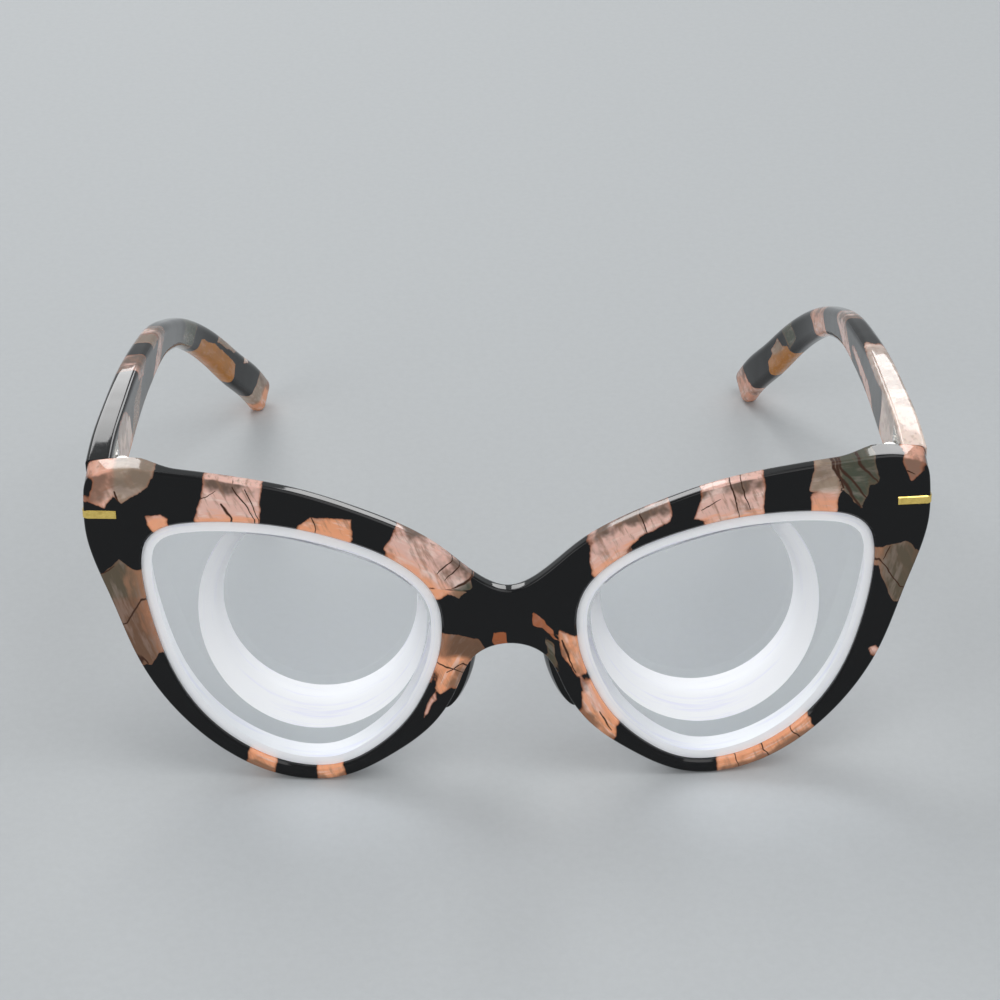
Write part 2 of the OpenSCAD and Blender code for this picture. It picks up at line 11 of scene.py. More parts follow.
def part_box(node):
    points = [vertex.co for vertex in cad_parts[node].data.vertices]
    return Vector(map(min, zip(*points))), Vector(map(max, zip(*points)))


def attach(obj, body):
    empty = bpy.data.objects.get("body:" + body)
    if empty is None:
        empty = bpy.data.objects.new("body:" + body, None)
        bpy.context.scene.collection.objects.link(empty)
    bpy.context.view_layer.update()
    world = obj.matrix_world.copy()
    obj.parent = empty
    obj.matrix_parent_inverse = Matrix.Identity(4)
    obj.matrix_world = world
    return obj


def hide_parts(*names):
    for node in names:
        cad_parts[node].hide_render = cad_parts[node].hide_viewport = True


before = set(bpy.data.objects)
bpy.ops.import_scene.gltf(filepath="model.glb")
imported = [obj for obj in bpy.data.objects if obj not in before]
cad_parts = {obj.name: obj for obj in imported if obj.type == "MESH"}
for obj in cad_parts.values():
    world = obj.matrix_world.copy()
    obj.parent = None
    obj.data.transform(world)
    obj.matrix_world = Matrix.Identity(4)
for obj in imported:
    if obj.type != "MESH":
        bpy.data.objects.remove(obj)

Array = np.ndarray
Socket = bpy.types.NodeSocket
Number = Socket | float
Colour = Socket | tuple[float, ...]
MM = 0.001
# Least length that is divided by, rise in place of a level edge, and steps to a millimetre when joined
TINY, LEVEL, WELD = 1e-12, 1e-9, 1e5
# Colour and strength of the pale surroundings that the camera, gloss and glass see
PALE, PALE_GLOW = (0.52, 0.54, 0.55), 0.9
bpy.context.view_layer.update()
# Kind of attribute, and how it is written, by how many numbers a point carries
LAYERS = {1: ("FLOAT", "value"), 3: ("FLOAT_VECTOR", "vector"), 4: ("FLOAT_COLOR", "color")}
log = logging.getLogger("spectacles")


class Side(Enum):
    """The wearer's side that a piece belongs to, as the sign of X."""

    LEFT = 1
    RIGHT = -1

    @property
    def tag(self) -> str:
        """Ending of the names of this side's pieces."""
        return self.name.lower()


class Tint(Enum):
    """Colour of a pale patch in the acetate, linear RGB."""

    ROSE = (0.80, 0.50, 0.42)
    PEACH = (0.74, 0.38, 0.27)
    BEIGE = (0.36, 0.27, 0.20)
    GREY = (0.065, 0.075, 0.05)
    UMBER = (0.11, 0.085, 0.055)
    BROWN = (0.16, 0.085, 0.05)
    SMOKE = (0.24, 0.15, 0.10)
    # A pale patch painted paler still, which stands for light shining through the temples near the hinge
    CREAM_LIT = (0.88, 0.71, 0.62)
    # Orange of the acetate, painted bright for light shining through it near the lens and at the temple tips
    GLOW = (0.86, 0.38, 0.20)
    AMBER = (0.46, 0.17, 0.015)
    COPPER = (0.34, 0.10, 0.035)


def box_mm(node: str) -> tuple[Array, Array]:
    """Corners of a CAD node in millimetres.

    Args:
        node: the node's name.

    Returns:
        Its lowest and highest corner.
    """
    low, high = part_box(node)
    return np.array(low) / MM, np.array(high) / MM


def smooth(t: Array) -> Array:
    """Smooth step 3t^2 - 2t^3 of t held between 0 and 1."""
    c = np.clip(t, 0, 1)
    return c * c * (3 - 2 * c)


def unit(v: Array) -> Array:
    """Vectors of length 1 along the last axis."""
    return v / np.maximum(np.linalg.norm(v, axis=-1, keepdims=True), TINY)


def cubic(points: Array, bend: Array, gap: Array, steps: int) -> Array:
    """Points of a cubic spline: p + t s + t^2 m/2 + t^3 (m' - m)/6h on each stretch of length h.

    Args:
        points: knots, one more than there are stretches.
        bend: second derivative m at each knot.
        gap: length h of each stretch.
        steps: points taken on each stretch.

    Returns:
        The curve's points, without the last knot.
    """
    h = gap[:, None, None]
    t = (np.arange(steps) / steps)[None, :, None] * h
    p, q = points[:-1, None], points[1:, None]
    m, k = bend[:-1, None], bend[1:, None]
    slope = (q - p) / h - h * (2 * m + k) / 6
    return (p + t * slope + t**2 * m / 2 + t**3 * (k - m) / (6 * h)).reshape(-1, points.shape[1])


def closed_curve(points: Array, steps: int) -> Array:
    """Closed spline of continuous curvature through the points, by the distance between them.

    Args:
        points: knots in order.
        steps: points taken from each knot to the next.

    Returns:
        Points of the curve, knot by knot.
    """
    n = len(points)
    at = np.arange(n)
    after = np.roll(points, -1, axis=0)
    gap = np.linalg.norm(after - points, axis=1)
    before = np.roll(gap, 1)
    matrix = np.diag(2 * (gap + before))
    matrix[at, (at + 1) % n] += gap
    matrix[at, (at - 1) % n] += before
    rise = (after - points) / gap[:, None]
    bend = np.linalg.solve(matrix, 6 * (rise - np.roll(rise, 1, axis=0)))
    return cubic(np.vstack([points, points[:1]]), np.vstack([bend, bend[:1]]), gap, steps)


def open_curve(points: Array, steps: int) -> Array:
    """Spline of continuous curvature through the points, straight at both ends.

    Args:
        points: knots in order.
        steps: points taken from each knot to the next.

    Returns:
        Points of the curve, with the last knot.
    """
    n = len(points)
    gap = np.linalg.norm(np.diff(points, axis=0), axis=1)
    matrix = np.eye(n)
    at = np.arange(1, n - 1)
    matrix[at, at] = 2 * (gap[:-1] + gap[1:])
    matrix[at, at - 1] = gap[:-1]
    matrix[at, at + 1] = gap[1:]
    rise = np.diff(points, axis=0) / gap[:, None]
    right = np.zeros_like(points)
    right[1:-1] = 6 * np.diff(rise, axis=0)
    return np.vstack([cubic(points, np.linalg.solve(matrix, right), gap, steps), points[-1:]])


def outward(curve: Array) -> Array:
    """Direction to the left of travel at each point of a closed curve in the plane."""
    step = np.roll(curve, -1, axis=0) - np.roll(curve, 1, axis=0)
    return unit(np.stack([-step[:, 1], step[:, 0]], axis=1))


def polygon_distance(p: Array, corners: Array) -> Array:
    """Signed distance of points from a polygon: the least distance to an edge, negative inside.

    Args:
        p: points in the plane, one per row.
        corners: the polygon's corners in order.

    Returns:
        One distance for each point.
    """
    nxt = np.roll(corners, -1, axis=0)
    edge = nxt - corners
    rel = p[:, None, :] - corners[None]
    t = np.clip((rel * edge).sum(-1) / (edge**2).sum(-1), 0, 1)
    far = np.linalg.norm(rel - t[..., None] * edge, axis=-1).min(axis=1)
    above = corners[:, 1] > p[:, 1:2]
    above_next = nxt[:, 1] > p[:, 1:2]
    rise = np.where(edge[:, 1] == 0, LEVEL, edge[:, 1])
    cross_u = corners[:, 0] + (p[:, 1:2] - corners[:, 1]) * edge[:, 0] / rise
    hits = ((above != above_next) & (p[:, 0:1] < cross_u)).sum(axis=1)
    return np.where(hits % 2 == 1, -far, far)


def grid_faces(rows: int, size: int, close_rows: bool = False) -> Array:
    """Quads of a grid of points, closed round each row.

    Args:
        rows: number of rows.
        size: points in each row.
        close_rows: whether the last row joins the first.

    Returns:
        Four point numbers for each face.
    """
    i = np.arange(rows if close_rows else rows - 1)[:, None]
    j = np.arange(size)[None, :]
    k = (j + 1) % size
    i2 = (i + 1) % rows
    return np.stack([i * size + j, i2 * size + j, i2 * size + k, i * size + k], axis=-1).reshape(-1, 4)


def fan_faces(tip: int, first: int, size: int, turned: bool = False) -> Array:
    """Triangles from a point to each step of a ring.

    Args:
        tip: number of the point.
        first: number of the ring's first point.
        size: points in the ring.
        turned: whether the triangles run against the ring.

    Returns:
        Three point numbers for each face.
    """
    j = first + np.arange(size)
    k = first + (np.arange(size) + 1) % size
    return np.stack([np.full(size, tip), *((k, j) if turned else (j, k))], axis=1)


def on_side(side: Side, points: Array, faces: list[Array]) -> tuple[Array, list[Array]]:
    """Points and faces of one side's piece: the right one is the mirror image of the left one.

    Args:
        side: the wearer's side.
        points: points of the left piece.
        faces: its faces.

    Returns:
        The points and the faces of the side's piece.
    """
    if side is Side.LEFT:
        return points, faces
    return points * [side.value, 1, 1], [f[:, ::-1] for f in faces]


@dataclass
class Skin:
    """A surface before it is a mesh.

    Args:
        points: points in millimetres.
        faces: point numbers of each face.
        kinds: material number of each face.
        values: numbers or colours carried by the points.
    """

    points: Array
    faces: list[Array]
    kinds: Array | None = None
    values: dict[str, Array] = field(default_factory=dict)

    def volume(self) -> float:
        """Volume in a closed surface, the sum of a.(b x c)/6 over its triangles.

        Returns:
            The volume in cubic millimetres, below 0 when the surface is inside out.
        """
        total = 0.0
        for f in self.faces:
            p = self.points[f]
            a, b, c = p[:, :1], p[:, 1:-1], p[:, 2:]
            total += float((a * np.cross(b, c)).sum()) / 6
        return total

    def piece(self, name: str, materials: list[bpy.types.Material], sharp: float = 38) -> bpy.types.Object:
        """Makes the mesh object, with points that no face uses left out.

        Args:
            name: name of the object.
            materials: its materials, in the order of the kinds.
            sharp: angle in degrees above which an edge stays sharp.

        Returns:
            The new object.
        """
        if self.volume() < 0:
            self.faces = [f[:, ::-1] for f in self.faces]
        loops = np.concatenate([f.reshape(-1) for f in self.faces])
        sizes = np.concatenate([np.full(len(f), f.shape[1]) for f in self.faces])
        used, loops = np.unique(loops, return_inverse=True)
        mesh = bpy.data.meshes.new(name)
        mesh.vertices.add(len(used))
        mesh.vertices.foreach_set("co", (self.points[used] * MM).astype(np.float32).ravel())
        mesh.loops.add(len(loops))
        mesh.loops.foreach_set("vertex_index", loops.astype(np.int32).ravel())
        mesh.polygons.add(len(sizes))
        mesh.polygons.foreach_set("loop_start", (np.cumsum(sizes) - sizes).astype(np.int32))
        mesh.polygons.foreach_set("loop_total", sizes.astype(np.int32))
        for material in materials:
            mesh.materials.append(material)
        if self.kinds is not None:
            mesh.polygons.foreach_set("material_index", self.kinds.astype(np.int32))
        for key, data in self.values.items():
            kind, part = LAYERS[data.shape[1] if data.ndim == 2 else 1]
            layer = mesh.attributes.new(key, kind, "POINT")
            layer.data.foreach_set(part, data[used].astype(np.float32).ravel())
        mesh.update(calc_edges=True)
        mesh.validate()
        mesh.polygons.foreach_set("use_smooth", np.ones(len(mesh.polygons), bool))
        mesh.set_sharp_from_angle(angle=math.radians(sharp))
        obj = bpy.data.objects.new(name, mesh)
        bpy.context.scene.collection.objects.link(obj)
        return obj


def welded(skin: Skin) -> Skin:
    """Joins points that lie in one place, to a hundredth of a micrometre.

    Args:
        skin: surface whose faces all have four points.

    Returns:
        The same surface with shared points.
    """
    key = np.round(skin.points * WELD).astype(np.int64)
    _, first, where = np.unique(key, axis=0, return_index=True, return_inverse=True)
    faces = [where.reshape(-1)[f] for f in skin.faces]
    return Skin(skin.points[first], faces, skin.kinds, {k: v[first] for k, v in skin.values.items()})


@dataclass(frozen=True)
class Patch:
    """A pale patch of the acetate.

    Args:
        tint: its colour.
        corners: its corners in millimetres.
    """

    tint: Tint
    corners: tuple[tuple[float, float], ...]


def pattern(p: Array, patches: list[Patch], spread: float = 0.9) -> dict[str, Array]:
    """Where points lie in a pattern of patches.

    The tone is the least signed distance to a patch, and the colour is the mean of the patches' colours
    weighted by the exponential of minus three times the distance over the spread.

    Args:
        p: points in the plane.
        patches: the patches.
        spread: distance over which neighbouring colours mix.

    Returns:
        The values "tone" and "stain" for each point.
    """
    far = np.stack([polygon_distance(p, np.array(q.corners)) for q in patches])
    low = far.min(axis=0)
    weight = np.exp(-(far - low) / spread * 3)
    colour = np.einsum("kp,kc->pc", weight, np.array([q.tint.value for q in patches]))
    colour /= weight.sum(axis=0)[:, None]
    return {"tone": low, "stain": np.concatenate([colour, np.ones((len(p), 1))], axis=1)}


# Patches of the front, u from the middle outwards and v up from the lowest rim point
FRONT_PATCHES = {
    Side.RIGHT: [
        Patch(Tint.PEACH, ((69.6, 59.3), (65.5, 59.5), (66.0, 54.9), (67.8, 51.9), (70.7, 53.5),
                           (69.8, 55.9))),
        Patch(Tint.BEIGE, ((66.2, 59.5), (57.3, 60.9), (60.3, 56.2), (64.8, 53.0), (66.5, 54.9))),
        Patch(Tint.ROSE, ((50.7, 58.7), (40.9, 57.4), (41.8, 50.0), (53.1, 49.8), (51.5, 53.9))),
        Patch(Tint.ROSE, ((60.9, 50.7), (58.5, 51.2), (57.1, 50.5), (57.8, 48.3), (60.4, 47.7))),
        Patch(Tint.GLOW, ((35.9, 48.9), (33.0, 51.0), (26.1, 50.7), (26.2, 45.9), (29.9, 47.2))),
        Patch(Tint.ROSE, ((21.0, 45.2), (18.9, 49.0), (10.4, 44.8), (5.8, 40.0), (12.0, 35.5), (13.3, 37.6))),
        Patch(Tint.GREY, ((10.2, 37.2), (6.4, 40.4), (6.2, 38.1), (8.4, 36.0))),
        Patch(Tint.BROWN, ((11.1, 29.4), (5.3, 28.3), (4.4, 26.8), (5.6, 24.0), (9.0, 24.9), (12.2, 24.3))),
        Patch(Tint.GLOW, ((5.8, 24.3), (9.0, 25.2), (11.8, 24.6), (13.1, 18.8), (12.1, 17.6), (7.4, 20.4))),
        Patch(Tint.COPPER, ((2.6, 29.5), (0.7, 29.6), (-0.3, 27.1), (2.8, 27.2))),
        Patch(Tint.ROSE, ((14.2, 16.4), (12.9, 18.0), (12.7, 16.4), (15.0, 12.8))),
        Patch(Tint.UMBER, ((69.5, 39.4), (66.0, 42.7), (62.9, 40.3), (62.6, 35.2), (68.3, 34.7))),
        Patch(Tint.BROWN, ((68.1, 35.5), (62.6, 35.5), (59.8, 25.8), (61.7, 22.4), (63.9, 23.0),
                           (66.7, 28.4))),
        Patch(Tint.GLOW, ((46.1, 5.9), (40.9, 5.6), (41.1, 0.8), (43.7, 1.5), (45.9, 3.1))),
        Patch(Tint.GLOW, ((33.9, 3.7), (29.1, 3.0), (29.2, -0.6), (33.9, -0.1))),
    ],
    Side.LEFT: [
        Patch(Tint.ROSE, ((13.7, 45.5), (19.4, 52.1), (27.4, 55.2), (27.5, 49.2), (22.3, 46.5),
                          (14.1, 38.5))),
        Patch(Tint.ROSE, ((32.8, 56.9), (43.2, 58.6), (43.2, 49.4), (37.5, 48.2), (31.0, 49.2),
                          (32.7, 53.6))),
        Patch(Tint.BEIGE, ((52.1, 59.4), (55.6, 59.4), (56.0, 52.8), (53.6, 52.6), (50.9, 53.6),
                           (51.3, 56.0))),
        Patch(Tint.PEACH, ((51.0, 52.9), (53.6, 53.8), (55.7, 53.7), (55.8, 49.1), (51.2, 49.3))),
        Patch(Tint.GREY, ((55.1, 59.3), (60.8, 60.1), (60.9, 52.9), (59.8, 50.0), (56.3, 53.9))),
        Patch(Tint.GREY, ((60.4, 59.9), (61.4, 59.9), (62.8, 55.0), (61.7, 53.8), (60.4, 56.0))),
        Patch(Tint.PEACH, ((65.7, 60.5), (69.5, 59.8), (69.8, 56.1), (68.0, 54.4), (66.8, 57.4))),
        Patch(Tint.UMBER, ((62.1, 42.3), (67.6, 43.4), (69.4, 41.8), (68.8, 38.6), (66.7, 31.4),
                           (64.9, 33.5), (62.8, 40))),
        Patch(Tint.ROSE, ((61.8, 23.2), (64.4, 24.2), (62.6, 20.4))),
        Patch(Tint.COPPER, ((3.9, 33.5), (5.3, 32.5), (7.6, 29.8), (8.0, 27.8), (5.4, 30.2), (4.2, 30.7))),
        Patch(Tint.GREY, ((6.1, 28.3), (7.3, 27.1), (8.8, 22.0), (7.9, 21.2), (6.6, 25.0))),
        Patch(Tint.GLOW, ((8.0, 30.3), (11.7, 27.6), (12.5, 21.0), (11.5, 20.5), (8.9, 24.9))),
        Patch(Tint.ROSE, ((12.0, 20.8), (14.9, 17.3), (16.8, 12.3), (12.7, 13.5))),
        Patch(Tint.GLOW, ((12.0, 17.9), (14.4, 17.9), (16.1, 13.9), (18.1, 12.2), (18.6, 6.6), (12.3, 13.6))),
        Patch(Tint.GLOW, ((35.8, 3.0), (44.0, 5.3), (44.0, 2.1), (35.8, 0.2))),
        Patch(Tint.GLOW, ((43.8, 5.1), (48.5, 8.0), (52.1, 11.2), (52.7, 7.8), (48.7, 4.2), (43.9, 2.1))),
    ],
}

# Dark lines drawn inside the front's patches: both ends, u to the wearer's left, and half the width
FRONT_LINES = (
    (-46.0, 56.4, -42.4, 50.3, 0.12), (-43.8, 55.9, -41.9, 50.4, 0.1), (-47.9, 53.1, -46.3, 50.3, 0.2),
    (-33.0, 50.8, -32.1, 48.2, 0.1), (-9.8, 42.9, -12.0, 40.6, 0.12), (-6.3, 40.0, -9.6, 37.7, 0.2),
    (-8.1, 42.2, -10.7, 39.5, 0.1), (-62.6, 35.2, -66.7, 28.6, 0.14), (-65.6, 27.0, -62.2, 22.8, 0.18),
    (-69.3, 39.6, -67.0, 41.4, 0.1), (-10.8, 21.9, -7.1, 24.3, 0.1), (-11.8, 23.4, -8.6, 21.9, 0.12),
    (-66.1, 55.2, -65.2, 53.0, 0.16), (-51.5, 53.9, -48.9, 55.5, 0.08),
    (22.6, 50.1, 24.0, 45.9, 0.1), (24.0, 46.5, 26.5, 47.6, 0.08), (37.5, 55.4, 39.1, 49.8, 0.12),
    (39.4, 55.3, 40.8, 50.6, 0.1), (54.1, 58.6, 59.8, 50.0, 0.26), (55.5, 58.1, 61.0, 51.4, 0.2),
    (58.3, 58.9, 62.4, 54.6, 0.2), (55.1, 58.7, 56.5, 53.9, 0.24), (32.7, 51.0, 35.7, 52.7, 0.08),
    (64.9, 42.6, 64.0, 40.0, 0.1), (62.9, 40.8, 67.8, 33.3, 0.1), (9.0, 27.8, 11.2, 21.4, 0.14),
    (15.4, 13.4, 17.4, 9.7, 0.12), (38.5, 3.6, 39.6, 1.6, 0.1), (43.8, 4.5, 45.2, 3.2, 0.1),
    (49.0, 7.8, 50.5, 6.1, 0.1), (66.9, 56.6, 68.6, 55.8, 0.1))

# Patches of the temples, by length from the hinge and height above the temple's middle
TEMPLE_PATCHES = {
    Side.RIGHT: [
        Patch(Tint.CREAM_LIT, ((8, -6), (9, 3.6), (13, 4.8), (19, 4.4), (24, 1), (25, -6))),
        Patch(Tint.ROSE, ((35, 2.5), (37, 7), (47, 7), (45, 3.5), (41, 1.5))),
        Patch(Tint.SMOKE, ((22, -5), (30, 1), (40, 2), (33, -3), (27, -6))),
        Patch(Tint.ROSE, ((44, -6), (53, -1.5), (58, 2), (61, 7), (69, 7), (64, 1), (56, -4), (50, -6))),
        Patch(Tint.BEIGE, ((52, 2.2), (54, 7), (62, 7), (58, 2.5))),
        Patch(Tint.GREY, ((84, -5), (88, 1), (90, 5), (99, 5), (96, 0), (94, -5))),
        Patch(Tint.AMBER, ((97, -5), (101, 0), (110, 0.8), (122, 0.4), (124, -5))),
        Patch(Tint.BEIGE, ((110, 1.4), (112, 5), (125, 5), (120, 2.2))),
        Patch(Tint.CREAM_LIT, ((126, 1.8), (127, 5), (130, 5), (129, 2.4))),
        Patch(Tint.BEIGE, ((133, -6), (136, 0), (137, 6), (145, 6), (141, 0), (140, -6))),
        Patch(Tint.GLOW, ((139.6, -6), (140.6, 0), (144.6, 6), (155, 6), (155, -6))),
    ],
    Side.LEFT: [
        Patch(Tint.CREAM_LIT, ((-3, -7), (-3, 7), (23, 7), (22, 2), (24, -7))),
        Patch(Tint.CREAM_LIT, ((20, 4.6), (20, 7), (50, 7), (46, 4.4), (36, 3.2), (25, 3.6))),
        Patch(Tint.ROSE, ((26, -6), (35, -1), (52, 1), (54, -0.2), (38, -3.6), (29, -7))),
        Patch(Tint.ROSE, ((46, -6), (56, -1), (61, 3), (62, 7), (74, 7), (69, 1), (60, -4), (54, -6))),
        Patch(Tint.PEACH, ((80, -5), (84, 0), (85, 5), (97, 5), (94, 0), (92, -5))),
        Patch(Tint.GREY, ((106, -1), (108, 4), (113, 3), (111, -2))),
        Patch(Tint.AMBER, ((110, -5), (112, -1), (118, 0.5), (124, -0.5), (126, -5))),
        Patch(Tint.BEIGE, ((114, -1), (116, 2), (121, 1), (119, -2))),
        Patch(Tint.PEACH, ((134, -6), (138, 0), (139, 6), (155, 6), (155, -6))),
    ],
}


class Tree:
    """Short way to write a node tree."""

    def __init__(self, tree: bpy.types.NodeTree) -> None:
        """Keeps the tree that nodes are added to."""
        self.tree = tree

    def add(self, kind: str, inputs: dict | None = None, **settings: object) -> bpy.types.Node:
        """Adds a node.

        Args:
            kind: the node's type without its "ShaderNode" beginning.
            inputs: sockets or plain values for its inputs, by name or number.
            settings: the node's own settings.

        Returns:
            The node.
        """
        node = self.tree.nodes.new(kind if kind.startswith("Node") else "ShaderNode" + kind)
        for key, value in settings.items():
            setattr(node, key, value)
        for key, value in (inputs or {}).items():
            if isinstance(value, Socket):
                self.tree.links.new(value, node.inputs[key])
            else:
                node.inputs[key].default_value = value
        return node

    def link(self, value: Socket, node: bpy.types.Node, key: str) -> None:
        """Links a socket to an input of a node."""
        self.tree.links.new(value, node.inputs[key])

    def math(self, operation: str, a: Number, b: Number = 0.0, c: Number = 0.0,
             clamp: bool = False) -> Socket:
        """One sum on up to three numbers, such as "MULTIPLY", as a socket."""
        return self.add("Math", {0: a, 1: b, 2: c}, operation=operation, use_clamp=clamp).outputs[0]

    def times(self, a: Number, b: Number) -> Socket:
        """Product of two numbers."""
        return self.math("MULTIPLY", a, b)

    def value(self, name: str, part: str) -> Socket:
        """A value that the points carry, by its name and the part of it that is read."""
        return self.add("Attribute", attribute_name=name).outputs[part]

    def vector(self, operation: str, a: Colour, b: Colour = (0, 0, 0), c: Colour = (0, 0, 0),
               part: str = "Vector") -> Socket:
        """One sum on vectors, such as "SUBTRACT", as a socket."""
        return self.add("VectorMath", {0: a, 1: b, 2: c}, operation=operation).outputs[part]

    def fade(self, value: Number, low: float, high: float, out_low: float = 0, out_high: float = 1) -> Socket:
        """Number that goes smoothly from out_low to out_high as value goes from low to high."""
        inputs = {"Value": value, "From Min": low, "From Max": high, "To Min": out_low, "To Max": out_high}
        return self.add("MapRange", inputs, interpolation_type="SMOOTHSTEP").outputs[0]

    def mix(self, factor: Number, a: Colour, b: Colour) -> Socket:
        """Mix of two colours.

        Args:
            factor: share of the second one.
            a: the first colour, as a socket or plain.
            b: the second colour.

        Returns:
            The mixed colour.
        """
        node = self.add("Mix", {0: factor}, data_type="RGBA")
        for socket, value in ((node.inputs[6], a), (node.inputs[7], b)):
            if isinstance(value, Socket):
                self.tree.links.new(value, socket)
            else:
                socket.default_value = (*value, 1) if len(value) == 3 else value
        return node.outputs[2]

    def place(self, scale: tuple[float, float, float],
              turn: tuple[float, float, float] = (0, 0, 0)) -> Socket:
        """Object coordinates in millimetres, turned and then scaled along each axis.

        Args:
            scale: factor along each axis.
            turn: angle about each axis in degrees.

        Returns:
            The coordinates as a vector.
        """
        spot = self.add("TexCoord").outputs["Object"]
        turned = self.add("VectorRotate", {"Vector": spot, "Rotation": [math.radians(a) for a in turn]},
                          rotation_type="EULER_XYZ").outputs[0]
        return self.vector("MULTIPLY", turned, tuple(s / MM for s in scale))

    def seen(self) -> Socket:
        """1 for rays by which the camera, gloss and glass see the surroundings, and 0 for the other rays."""
        rays = self.add("LightPath").outputs
        shown = self.math("MAXIMUM", rays["Is Camera Ray"], rays["Is Glossy Ray"])
        return self.math("MAXIMUM", shown, rays["Is Transmission Ray"])

    def noise(self, vector: Socket, detail: float = 2, rough: float = 0.5, part: int | str = 0) -> Socket:
        """Noise between 0 and 1 at a place, or three of them by the part "Color"."""
        inputs = {"Vector": vector, "Scale": 1, "Detail": detail, "Roughness": rough}
        return self.add("TexNoise", inputs).outputs[part]


def new_material(name: str) -> tuple[bpy.types.Material, Tree, bpy.types.Node]:
    """Empty material.

    Args:
        name: its name.

    Returns:
        The material, its tree and its output node.
    """
    material = bpy.data.materials.new(name)
    material.use_nodes = True
    material.node_tree.nodes.clear()
    tree = Tree(material.node_tree)
    return material, tree, tree.add("OutputMaterial")


def effect_group(name: str, outputs: dict[str, str], inputs: dict[str, str] | None = None
                 ) -> tuple[bpy.types.NodeTree, Tree, bpy.types.Node, bpy.types.Node]:
    """Empty node group for an effect that several finishes share.

    Args:
        name: its name.
        outputs: type of each output by name.
        inputs: type of each input by name.

    Returns:
        The group, its tree, its input node and its output node.
    """
    group = bpy.data.node_groups.new(name, "ShaderNodeTree")
    for key, kind in (inputs or {}).items():
        group.interface.new_socket(key, in_out="INPUT", socket_type="NodeSocket" + kind)
    for key, kind in outputs.items():
        group.interface.new_socket(key, in_out="OUTPUT", socket_type="NodeSocket" + kind)
    tree = Tree(group)
    return group, tree, tree.add("NodeGroupInput"), tree.add("NodeGroupOutput")


def wear_group() -> bpy.types.NodeTree:
    """Effect shared by the finishes of the object: wipe marks and dust in the gloss, and a slight swell.

    Returns:
        The group, with a roughness to add and a height for the bump.
    """
    group, tree, _, end = effect_group("wear", {"Rough": "Float", "Height": "Float"})
    wipe = tree.noise(tree.place((0.5, 3.0, 3.0), (0, 25, 35)), detail=4, rough=0.6)
    dust = tree.noise(tree.place((9, 9, 9)), detail=2, rough=0.7)
    swell = tree.noise(tree.place((0.16, 0.16, 0.16)), detail=1, rough=0.4)
    rough = tree.math("ADD", tree.fade(wipe, 0.45, 0.75, 0, 0.03), tree.fade(dust, 0.66, 0.8, 0, 0.08))
    tree.link(rough, end, "Rough")
    tree.link(swell, end, "Height")
    return group


def line_group() -> bpy.types.NodeTree:
    """Effect that draws a line: how far a spot is from a stretch between two ends, in half widths.

    It is widest about a third of the way along and tapers to both ends.

    Returns:
        The group.
    """
    widest, full = 0.35, 1.25
    kinds = {"Spot": "Vector", "From": "Vector", "Step": "Vector", "Half": "Float"}
    group, tree, begin, end = effect_group("drawn_line", {"Away": "Float"}, kinds)
    step = begin.outputs["Step"]
    rel = tree.vector("SUBTRACT", begin.outputs["Spot"], begin.outputs["From"])
    top = tree.vector("DOT_PRODUCT", rel, step, part="Value")
    low = tree.vector("DOT_PRODUCT", step, step, part="Value")
    share = tree.math("DIVIDE", top, low, clamp=True)
    foot = tree.add("VectorMath", {0: step, "Scale": share}, operation="SCALE").outputs[0]
    away = tree.vector("DISTANCE", rel, foot, part="Value")
    taper = tree.math("SUBTRACT", full, tree.math("ABSOLUTE", tree.math("SUBTRACT", share, widest)))
    half = tree.times(begin.outputs["Half"], taper)
    tree.link(tree.math("DIVIDE", away, half), end, "Away")
    return group


